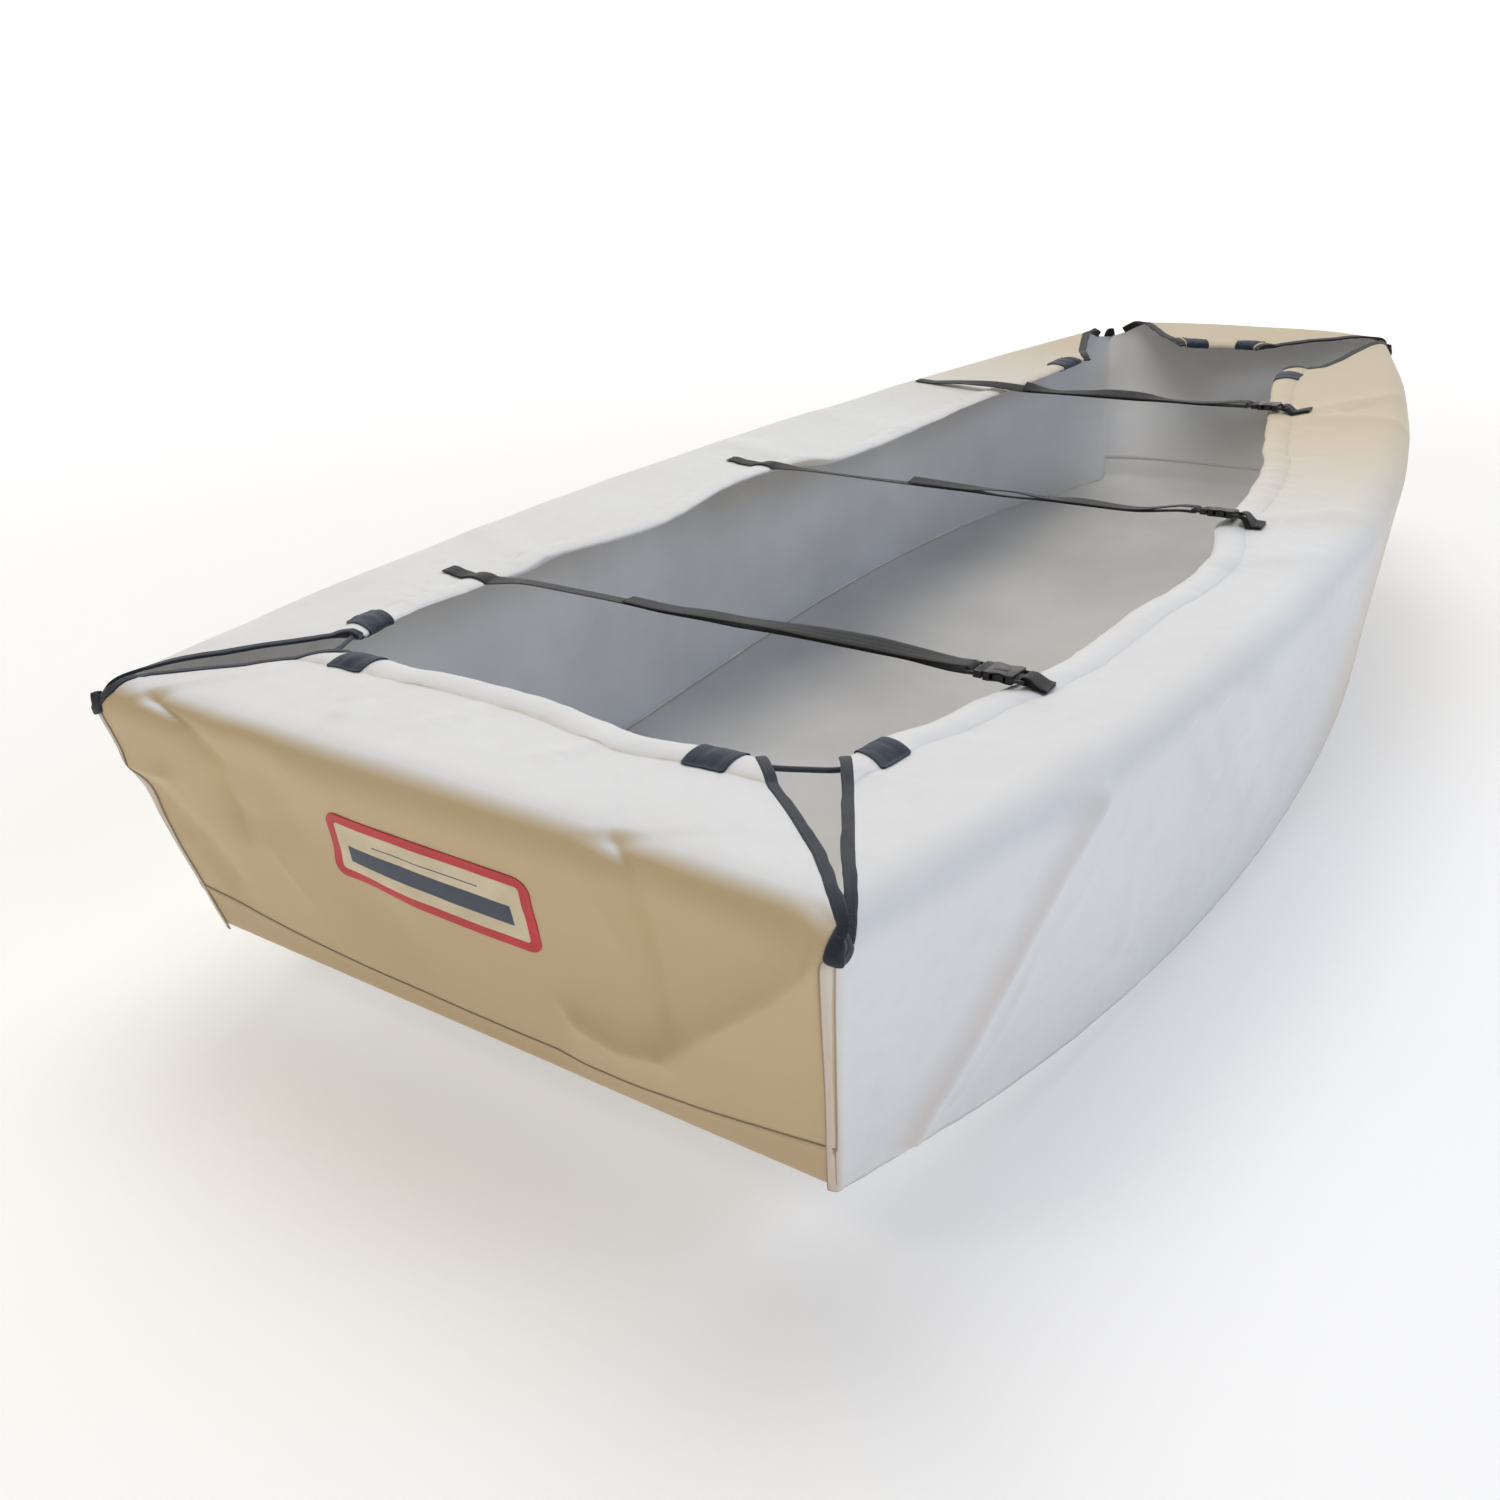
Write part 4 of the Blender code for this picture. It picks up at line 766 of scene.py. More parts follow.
def cloth_material(name, bow=None, aft=None):
    """Coated polyester: a fine weave under a satin coat, soft creasing and rows of thread.

    The bow's cream comes in between two places along the object, given as bow. What faces aft has
    the colour given as aft, which is painted warm shade.
    """
    n = Nodes(name)
    u, v = n.uv()
    place = n.object_place()
    fine = n.noise(place, 42.0, 3.0, 0.6)
    tint = n.mix(n.ramp(n.noise(place, 5.0, 3.0, 0.55), 0.35, 0.70), CLOTH_WHITE, CLOTH_SHADE)
    tint = n.stain(tint, n.ramp(fine, 0.45, 0.8), 0.10, (0.55, 0.53, 0.48, 1))
    if bow:
        tint = n.mix(n.ramp(n.object_x("Object"), *bow), tint, BOW_CREAM)
    if aft:
        # painted warm shade: cloth whose object normal faces aft is tinted towards the aft colour
        tint = n.mix(n.ramp(n.object_x("Normal"), -0.25, -0.80), tint, aft)
    normal = n.bump(n.weave(u, v, WEAVE_PITCH), 0.00008, 0.35)
    normal = n.bump(n.noise(place, 26.0, 4.0, 0.55), 0.0016, 0.35, normal)
    normal = n.bump(n.noise(place, 90.0), 0.0005, 0.30, normal)
    edge = n.attribute("seam")
    thread = stitches(n, edge, n.attribute("run"), SEAM_ROWS)
    level = n.ramp(n.apart(edge, SEAM_ROWS[0]), 0.0, 0.0022)
    tint = n.stain(tint, n.math("SUBTRACT", 1.0, level), 0.10, (0.34, 0.31, 0.26, 1))
    tint = n.stain(tint, thread, 0.2, (0.86, 0.85, 0.82, 1))
    tint = n.stain(tint, n.ramp(edge, 0.0015, 0.0007), 0.6, (0.16, 0.12, 0.08, 1))
    normal = n.bump(n.math("ADD", level, n.times(thread, 0.5)), 0.0004, 0.5, normal)
    rough = n.math("MULTIPLY_ADD", fine, 0.16, 0.46)
    return n.finish(tint, rough, normal, Sheen_Weight=0.12, Sheen_Roughness=0.5, Specular_IOR_Level=0.35)


def back_material():
    """The cloth's coated back: grey, a little glossier, with the weave showing through."""
    n = Nodes("coated_back")
    u, v = n.uv()
    place = n.object_place()
    tint = n.mottled(place, 7.0, 0.35, 0.7, srgb(229, 228, 226), srgb(219, 218, 216))
    normal = n.bump(n.weave(u, v, WEAVE_PITCH), 0.00006, 0.3)
    normal = n.bump(n.noise(place, 24.0, 4.0, 0.55), 0.0016, 0.3, normal)
    return n.finish(tint, 0.5, normal, Specular_IOR_Level=0.35)


def tape_material(name, colour, edges):
    """Woven tape: cross ribs, a matt surface and rows of thread at set distances across."""
    n = Nodes(name)
    u, v = n.uv()
    place = n.object_place()
    ribs = n.times(n.wave(v, 0.0013), n.math("MULTIPLY_ADD", n.wave(u, 0.0009), 0.4, 0.6))
    tint = n.mottled(place, 60.0, 0.35, 0.75, colour, brighter(colour, 1.6))
    tint = n.stain(tint, ribs, 0.35, brighter(colour, 2.1))
    thread = stitches(n, u, v, edges, 0.0030, 0.0004)
    tint = n.stain(tint, thread, 0.8, brighter(colour, 2.6))
    normal = n.bump(ribs, 0.00022, 0.7)
    normal = n.bump(n.noise(place, 45.0, 3.0), 0.0012, 0.5, normal)
    normal = n.bump(thread, 0.0005, 0.8, normal)
    return n.finish(tint, 0.72, normal, Sheen_Weight=0.25, Sheen_Roughness=0.5, Specular_IOR_Level=0.3)


def webbing_material():
    """Flat woven webbing: chevron ribs between two tight selvedges."""
    n = Nodes("webbing")
    u, v = n.uv()
    place = n.object_place()
    slant = n.math("ADD", v, n.times(n.math("PINGPONG", u, 0.0032), 0.9))
    weave = n.times(n.wave(slant, 0.0017), n.math("MULTIPLY_ADD", n.wave(u, 0.0012), 0.6, 0.4))
    tint = n.mottled(place, 70.0, 0.3, 0.8, srgb(40, 40, 40), srgb(52, 51, 50))
    tint = n.stain(tint, weave, 0.55, srgb(76, 75, 73))
    half = WEBBING_WIDTH / 2
    selvedge = n.ramp(n.math("ABSOLUTE", u), half - 0.0022, half - 0.0014)
    tint = n.stain(tint, selvedge, 0.35, srgb(34, 34, 34))
    normal = n.bump(weave, 0.00035, 0.8)
    normal = n.bump(n.noise(place, 40.0), 0.0008, 0.3, normal)
    return n.finish(tint, 0.78, normal, Sheen_Weight=0.3, Sheen_Roughness=0.4, Specular_IOR_Level=0.3)


def moulded_material():
    """Black plastic of the buckles, a little worn."""
    n = Nodes("moulded")
    place = n.object_place()
    wear = n.ramp(n.noise(place, 120.0, 3.0), 0.55, 0.8)
    tint = n.stain(srgb(33, 34, 37), wear, 0.4, srgb(62, 63, 67))
    grain = n.bump(n.noise(place, 900.0), 0.00006, 0.6)
    return n.finish(tint, n.math("MULTIPLY_ADD", wear, 0.14, 0.36), grain, Specular_IOR_Level=0.45)


def elastic_material():
    """Braided sheath of the elastic: a fine spiral of two strands."""
    n = Nodes("elastic")
    u, v = n.uv()
    strands = (n.wave(n.math(way, n.times(u, 0.5), v), 0.0016) for way in ("ADD", "SUBTRACT"))
    braid = n.math("MAXIMUM", *strands)
    tint = n.mix(braid, srgb(22, 26, 32), srgb(62, 70, 80))
    return n.finish(tint, 0.7, n.bump(braid, 0.0003, 0.8), Sheen_Weight=0.2)


def print_material():
    """Sewn cloth patch: a red rim round a cream field, with a plain navy bar and a thin line."""
    n = Nodes("patch_print")
    u, v = n.uv()
    place = n.object_place()
    rim, far, down = n.attribute("rim"), n.attribute("far"), n.attribute("run")
    red = n.mottled(place, 30.0, 0.3, 0.8, srgb(204, 38, 48), srgb(184, 30, 42))
    cream = n.mottled(place, 30.0, 0.3, 0.8, srgb(222, 208, 178), srgb(204, 190, 158))
    blur, rim_width = 0.0003, 0.0115
    tint = n.mix(n.ramp(rim, rim_width - blur, rim_width + blur), red, cream)
    for low, high, inset in ((0.0385, 0.0620, 0.026), (0.0270, 0.0285, 0.060)):
        across = n.times(*(n.ramp(side, inset, inset + 2 * blur) for side in (u, far)))
        rows = n.times(n.ramp(v, low - blur, low + blur), n.ramp(v, high + blur, high - blur))
        tint = n.mix(n.times(across, rows), tint, srgb(52, 62, 82))
    thread = stitches(n, rim, down, (0.0030,), 0.0030, 0.0004)
    tint = n.stain(tint, thread, 0.4, srgb(226, 120, 120))
    normal = n.bump(n.weave(u, v, 0.0009), 0.00010, 0.5)
    return n.finish(tint, 0.6, n.bump(thread, 0.0004, 0.6, normal), Sheen_Weight=0.1)


# The colour given for what faces aft is painted warm shade.
FRONTS = {
    "starboard": cloth_material("cloth_starboard", (-0.12, 0.45), LAP_PAINTED_WARM_SHADE),
    "port": cloth_material("cloth_port", (0.35, 0.95), LAP_PAINTED_WARM_SHADE),
    "stern": cloth_material("cloth_stern", None, STERN_PAINTED_WARM_SHADE),
    "bow": cloth_material("cloth_bow", (0.40, 0.80)),
    "bottom": cloth_material("cloth_bottom", (0.85, 1.00), FOOT_PAINTED_WARM_SHADE),
}
BACK = back_material()
TAPES = {
    "stern": tape_material("tape_near", srgb(26, 32, 41), (0.0015,)),
    "bow": tape_material("tape_far", srgb(24, 20, 16), (0.0015,)),
}
PATCH_TAPE = tape_material("tape_patch", srgb(24, 34, 50), (0.003, 0.039))
WEBBING_CLOTH = webbing_material()
MOULDED = moulded_material()
ELASTIC_CORD = elastic_material()
PRINT = print_material()


# ---------------------------------------------------------------- the five panels
def closing(depth):
    """How open a notch still is: it closes a little below its tip."""
    return float(np.clip((CLOSED - depth) / (CLOSED - TIP), 0, 1))


def side_row(side, columns, part, share):
    """(along, depth) of a row of a side panel, which stays clear of the notches at its ends."""
    cloth = CLOTHS[side]

    def clear_of(end):
        def step(start):
            x = start if end == "stern" else LENGTH - start
            depth = float(row_depth(part, share, cloth.reach(x), cloth.fall(x)))
            return float(straight(NOTCHES[(side, end)], min(depth, TIP), 1)) * closing(depth)

        return max(0.0 if part == "wall" else settled(0.1, step), CORNER_START)

    x = np.linspace(0, LENGTH, columns)
    from_stern, from_bow = 1 - x / STERN_BLEND, 1 - (LENGTH - x) / BOW_BLEND
    x = x + clear_of("stern") * from_stern.clip(0) - clear_of("bow") * from_bow.clip(0)
    return x, row_depth(part, share, cloth.reach(x), cloth.fall(x)) + 0 * x


def end_row(end, columns, part, share):
    """(along, depth) of a row of a transom panel, from port to starboard."""
    cloth, wall, shares = CLOTHS[end], wall_length(end), np.linspace(1, -1, columns)

    def half(side):
        def step(y):
            depth = float(row_depth(part, share, cloth.reach(y * SIDES[side]), wall))
            notched, still_open = float(straight(NOTCHES[(side, end)], min(depth, TIP), 2)), closing(depth)
            return notched * still_open + float(wall_half(end, max(depth, 0.0))) * (1 - still_open)

        return settled(0.2, step)

    y = shares * np.where(shares > 0, half("port"), half("starboard"))
    depth = row_depth(part, share, cloth.reach(y), wall - seam_rise(end, shares)) + 0 * y
    return (shares * wall_half(end, depth) if part == "wall" else y), depth


def wrapped(side, top, under, depth):
    """The grids of a side panel with its ends folded round the corners onto the transoms."""
    grids = []
    share = np.linspace(0, 1, WRAP_COLUMNS + 1)[1:, None]
    for grid, lift in zip((top, under), LAP_LIFTS):
        parts = [grid]
        for end, order in (("stern", 1), ("bow", -1)):
            columns = []
            for (start, before), d in zip(grid[:, ::order][:, :2], depth[:, ::order][:, 0]):
                shut = 1 - closing(d)
                lap = start + unit(start - before) * share * SELVEDGE
                if shut > 0:
                    wall = wall_half(end, max(d, 0.0))
                    far, ahead = (
                        CLOTHS[end].outer((wall + more) * SIDES[side], d, lift) for more in (-WRAP, 0.001)
                    )
                    lap = lap * (1 - shut) + arc(start, ahead, far, share) * shut
                columns.append(lap)
            columns = np.array(columns)
            parts = [columns[:, ::-1], *parts] if end == "stern" else [*parts, columns]
        grids.append(np.concatenate(parts, axis=1))
    return grids


def cloth_piece(name, top, under, across, down, sewn, run):
    """The sheet, its area, width and length. Its thread runs at distances from its sewn edges."""
    layers = {"seam": sewn, "run": run}
    obj = sheet_mesh("cloth_" + name, top, under, [FRONTS[name], BACK], across, down, layers)
    return obj, surface_area(top), float(across[len(across) // 2, -1]), float(down[-1].max())


def panel_piece(name):
    """Closed fine sheet of a side or transom panel."""
    cloth, (columns, *rows) = CLOTHS[name], GRIDS[name]
    row = side_row if cloth.is_side else end_row
    along, depth = np.array([row(name, columns, *place) for place in row_shares(*rows)]).swapaxes(0, 1)
    top, under = cloth.outer(along, depth), cloth.inner(along, depth)
    from_hem = depth + cloth.reach(along)
    if cloth.is_side:
        top, under = wrapped(name, top, under, depth)
        more = ((0, 0), (WRAP_COLUMNS, WRAP_COLUMNS))
        depth, from_hem = np.pad(depth, more, "edge"), np.pad(from_hem, more, "edge")
    across, down = lengths(top, 1), lengths(top, 0)
    sewn = np.minimum(np.abs(from_hem - HEM_WIDTH) + SEAM_ROWS[0], down[-1] - down)
    corner = np.where(depth > TIP * 0.5, np.minimum(across, across[:, -1:] - across), 1.0)
    beside = corner < sewn
    run = np.where(beside, down, across)
    return cloth_piece(name, top, under, across, down, np.where(beside, corner, sewn), run)


def bottom_foot(end, shares):
    """Rows of the bottom that lie on a transom, from its seam down to its foot."""
    wall, rows = wall_length(end), []
    for lift in np.linspace(1, 0, 9):
        depth = wall - KNUCKLE - (seam_rise(end, shares) + 0.004 - KNUCKLE) * lift
        y = shares * (wall_half(end, depth) - 0.0010)
        overlap = 0.0009 * ease((lift - 0.72) * 8)      # it laps over the transom's edge
        rows.append(CLOTHS[end].outer(y, depth, overlap))
    return rows


def bottom_row(x, shares):
    edge = chine((x - STERN_RAKE) / BOTTOM_LENGTH)
    ends = min(1.0, (x - STERN_RAKE) / 0.2, (LENGTH - BOW_RAKE - x) / 0.2)
    sag = BOTTOM_SAG * (1 - shares**2) * ends
    uneven = 0.0014 * ends * (1 - shares**4) * noise(x / 0.16, shares / 0.3, 61)
    return vec(x, shares * (edge[1] - CORNER_INSET), edge[2] - sag + uneven)


def bottom_piece(columns, runs):
    """The bottom, which turns up over the foot of both transoms."""
    shares = np.linspace(1, -1, columns)
    places = np.linspace(STERN_RAKE + KNUCKLE, LENGTH - BOW_RAKE - KNUCKLE, runs)
    rows = [bottom_row(x, shares) for x in places]
    turned = {}
    for end, first in (("stern", rows[0]), ("bow", rows[-1])):
        found, wall = bottom_foot(end, shares), wall_length(end)
        corner = CLOTHS[end].base(shares * (wall_half(end, wall) - 0.0012), np.full(columns, wall))
        turned[end] = found + [arc(found[-1], corner, first, t) for t in np.linspace(0, 1, 8)[1:-1]]
    top = np.array(turned["stern"] + rows + turned["bow"][::-1])
    normals = grid_normals(top)
    if normals[len(top) // 2, columns // 2, 2] > 0:
        normals = -normals
    across, down = lengths(top, 1), lengths(top, 0)
    aside = np.minimum(across, across[:, -1:] - across)
    sewn = np.minimum(aside, np.minimum(down, down[-1] - down))
    run = np.where(sewn < aside + 1e-9, across, down)
    return cloth_piece("bottom", top, top - normals * CLOTH, across, down, sewn, run)


def build_panels():
    pieces = {name: panel_piece(name) for name in GRIDS}
    pieces["bottom"] = bottom_piece(*BOTTOM_GRID)
    for name, (obj, area, width, length) in pieces.items():
        handed_in(obj, "panel_" + name)
        flat = (round(width, 3), round(length, 3))
        area = min(area, flat[0] * flat[1])


# ---------------------------------------------------------------- tapes, patches, elastic
def swept(name, centres, across, up, profile, material, uv_across=None):
    """Closed tube of a profile of (across, up) pairs for each station along the centres."""
    rows, columns = profile.shape[:2]
    verts = centres[:, None] + across[:, None] * profile[..., :1] + up[:, None] * profile[..., 1:]
    verts = verts.reshape(-1, 3)
    quads = grid_faces(rows, columns, wrap=True)
    faces = [*quads, range(columns), [(rows - 1) * columns + k for k in reversed(range(columns))]]
    if inside_out(verts, quads):
        faces = [face[::-1] for face in faces]
    u = profile[..., 0] if uv_across is None else np.broadcast_to(uv_across, (rows, columns))
    uv = np.stack([u, np.broadcast_to(travelled(centres)[:, None], u.shape)], -1).reshape(-1, 2)
    return made(name, verts, faces, [material], uv)


def flat_profile(low, high, top, bottom):
    """Rounded flat sections from low to high across, top above and bottom below."""
    t = np.linspace(0, 1, 11)
    low, high = low[..., None], high[..., None]
    swell = np.sqrt(np.clip(1 - (2 * t - 1) ** 6, 0, 1))
    over = np.stack(np.broadcast_arrays(low + (high - low) * t, top * swell), -1)
    under = np.stack(np.broadcast_arrays(high + (low - high) * t, -bottom * swell), -1)
    return np.concatenate([over, under[..., 1:-1, :]], axis=-2)


def tape_leg(side, end, of_side):
    """Binding on one cloth edge of a notch, from the hem to its tip."""
    share = np.linspace(1, 0, 64)
    lines, lift = {}, 0.0004 * noise(share * 16, 0, 31)
    for part in (of_side, not of_side):
        cloth = CLOTHS[side if part else end]
        along, depth = notch_edge(side, end, part, share)
        up = cloth.normal(along, depth)
        rise, below = cloth.roll(depth + cloth.reach(along))
        lines[part] = (cloth.outer(along, depth) + up * lift[:, None], up, rise + below)
    line, up, thick = lines[of_side]
    toward = lines[not of_side][0] - line
    across = unit(np.cross(up, unit(np.gradient(line, axis=0))))
    across *= np.sign(np.einsum("ij,ij->i", across, toward))[:, None]
    across[-6:] = across[-7]
    width = np.minimum(TAPE_WIDTHS[end], np.linalg.norm(toward, axis=1) * 0.5 + 0.0006)
    width = width * (1 + 0.06 * noise(share * 22, 0, 33))
    profile = flat_profile(np.full(len(line), -SELVEDGE), width, 0.0010, 0.0020)
    profile[..., 1] -= np.where(profile[..., 1] < 0, thick[:, None] * 0.5, 0)
    name = "binding_%s_%s" % (side, end)
    obj = swept(name + ("_side" if of_side else "_end"), line, across, up, profile, TAPES[end])
    handed_in(obj, name if of_side else None)


def tip_cap(side, end):
    """Rounded end of the binding, folded over the corner below the notch."""
    rows, columns = 30, 25
    r = np.linspace(0, 1, rows)[:, None]
    t = np.linspace(-1, 1, columns)[None, :]
    high, low = TIP - 0.016, TIP_DEPTH + 0.003
    round_from = low - 0.0110
    x = LENGTH * STATIONS[end]
    d = high + (low - high) * np.sin(r * math.pi / 2)
    past = np.clip((d - round_from) / (low - round_from), 0, 1)
    wide = np.where((t > 0) & (side == "starboard"), 0.0110, 0.0150) * np.sqrt(1 - past**2) + 0.0002
    half = wall_half(end, np.maximum(d, 0.0)) + CORNER_INSET
    corner = (CLOTHS[side].base(x, d) + CLOTHS[end].base(half * SIDES[side], d)) / 2
    on_side = CLOTHS[side].outer(x - INWARD[end] * wide * np.minimum(t, 0), d + 0 * t)
    on_end = CLOTHS[end].outer((half - wide * np.maximum(t, 0)) * SIDES[side], d + 0 * t)
    blend = (np.exp(-((wide * t / 0.0055) ** 2)) * 0.45)[..., None]
    top = np.where((t < 0)[..., None], on_side, on_end) * (1 - blend) + corner * blend
    normals = grid_normals(top)
    outward = top[0, columns // 2] - np.array([LENGTH / 2, 0.0, 0.1])
    if (normals.reshape(-1, 3) @ outward).mean() < 0:
        normals = -normals
    for _ in range(4):      # even out the normals over the fold
        normals[:, 1:-1] = unit(normals[:, 1:-1] * 2 + normals[:, :-2] + normals[:, 2:])
        normals[1:-1] = unit(normals[1:-1] * 2 + normals[:-2] + normals[2:])
    crown = np.clip(1 - t**4, 0, 1) * np.clip((1 - r) * 5, 0, 1) ** 0.5
    lift = 0.0008 + CAP_PROUD.get((side, end), 0.0021) * crown + 0.0004 * noise(t * 3, r * 5, 41)
    upper = top + normals * lift[..., None]
    across, down = lengths(upper, 1), lengths(upper, 0)
    name = "binding_%s_%s_cap" % (side, end)
    handed_in(sheet_mesh(name, upper, top - normals * 0.0002, [TAPES[end]], across, down))


def casing_patch(side, end, of_side):
    """Cloth patch folded round a casing's end, puckered with the hem under it."""
    cloth = CLOTHS[side if of_side else end]
    name = "patch_%s_%s_%s" % (side, end, "side" if of_side else "end")
    outermost, fold = 0.0415, 0.006         # distances from the hem
    rows = outermost - (outermost - fold) * np.linspace(0, 1, 16) ** 1.3
    s = np.concatenate([rows, fold * np.linspace(1, 0, 7)[1:] ** 1.6])
    at_hem, at_seam = PATCH_PLACES[(side, end)][0 if of_side else 1]
    near, far = (a + (b - a) * s / HEM_WIDTH for a, b in zip(at_hem, at_seam))
    past = np.clip((s - outermost + PATCH_CORNER) / PATCH_CORNER, 0, 1)
    rounding = PATCH_CORNER * (1 - np.sqrt(1 - past**2)) * np.sign(far - near)
    near, far = near + rounding * 0.6, far - rounding
    place = near + (far - near) * np.linspace(0, 1, 30)[:, None]
    x = (place if end == "stern" else LENGTH - place) if of_side else place * SIDES[side]
    depth = s - cloth.reach(x)
    line = np.concatenate([cloth.outer(x, depth), cloth.inner(x, depth)[:, ::-1][:, 1:]], axis=1)
    normals = grid_normals(line)
    if normals[15, 3, 2] < 0:
        normals = -normals
    turn = len(s) - 1
    normals[:, turn] = unit(normals[:, turn - 2] + normals[:, turn + 2])
    bubble = 0.0005 * noise(np.arange(30)[:, None] / 4.0, np.arange(line.shape[1]) / 5.0, 51)
    upper = line + normals * (0.0017 + bubble)[..., None]
    across, down = lengths(upper, 0), lengths(upper, 1)
    handed_in(sheet_mesh(name, upper, line + normals * 0.0007, [PATCH_TAPE], across, down), name)


def elastic_piece(side):
    """Round elastic that comes out of both casings and crosses the notch."""
    ends = []
    for of_side in (True, False):
        cloth = CLOTHS[side if of_side else "stern"]
        along = notch_edge(side, "stern", of_side, np.array([0.93, 0.97]))[0][0]
        inward = 1 if of_side else -SIDES[side]
        d = 0.0105 - cloth.reach(along)
        ends.append([cloth.base(along + inward * more, d) for more in (0.006, -0.008)])
    (a, a1), (b, b1) = ends
    line = resampled(np.array([a, a1, (a1 + b1) / 2 + np.array([0, 0, -0.0008]), b1, b]), 60)
    tangent = unit(np.gradient(line, axis=0))
    up = unit(np.cross(np.cross(tangent, [0, 0, 1.0]), tangent))
    turns = np.linspace(0, 2 * math.pi, 17)[:-1]
    round_profile = np.stack([np.cos(turns), np.sin(turns)], -1) * ELASTIC / 2
    profile = np.tile(round_profile, (len(line), 1, 1))
    name = "elastic_%s_stern" % side
    obj = swept(name, line, np.cross(tangent, up), up, profile, ELASTIC_CORD, turns * ELASTIC / 2)
    handed_in(obj, name)


def resampled(knots, count):
    """Smooth curve through rows that start with x, y and z, evenly spaced."""
    place = travelled(knots[:, :3])
    table = np.column_stack([place, knots])
    fine = np.linspace(0, place[-1], count * 6)
    dense = [smooth(table, fine, k + 1) for k in range(knots.shape[1])]
    along = travelled(np.stack(dense[:3], -1))
    even = np.linspace(0, along[-1], count)
    return np.stack([np.interp(even, along, values) for values in dense], -1)


def stern_patch():
    """Cloth patch with rounded corners, sewn on the stern."""
    cloth, first = CLOTHS["stern"], PATCH_EDGES[0][0]
    height = PATCH_EDGES[1][0] - first
    down = height * (1 - np.cos(math.pi * np.linspace(0, 1, 48)[:, None])) / 2
    depth = first + down
    t = (1 - np.cos(math.pi * np.linspace(0, 1, 100))) / 2
    corner = np.clip(LABEL_CORNER - np.minimum(down, height - down), 0, None)
    inset = LABEL_CORNER - np.sqrt(LABEL_CORNER**2 - corner**2)
    port, starboard = (
        straight(PATCH_EDGES, depth, k) + 0.0006 * noise(depth / 0.02, 0, 70 + k) for k in (1, 2)
    )
    width = port - starboard
    along = port - inset + (starboard - port + 2 * inset) * t
    across, down, depth = port - along, down + 0 * along, depth + 0 * along
    out_x = np.abs(across - width / 2) - width / 2 + LABEL_CORNER
    out_y = np.abs(down - height / 2) - height / 2 + LABEL_CORNER
    beyond = np.hypot(np.clip(out_x, 0, None), np.clip(out_y, 0, None))
    rim = LABEL_CORNER - np.where(beyond > 0, beyond, np.maximum(out_x, out_y))
    lift = 0.0011 + 0.0005 * noise(along / 0.03, depth / 0.03, 73)
    upper, lower = (cloth.outer(along, depth, above) for above in (lift, 0.0002))
    layers = {"far": width - across, "rim": rim, "run": np.where(out_x > out_y, down, across)}
    obj = sheet_mesh("patch_stern", upper, lower, [PRINT], across, down, layers)
    handed_in(obj, "stern_patch")


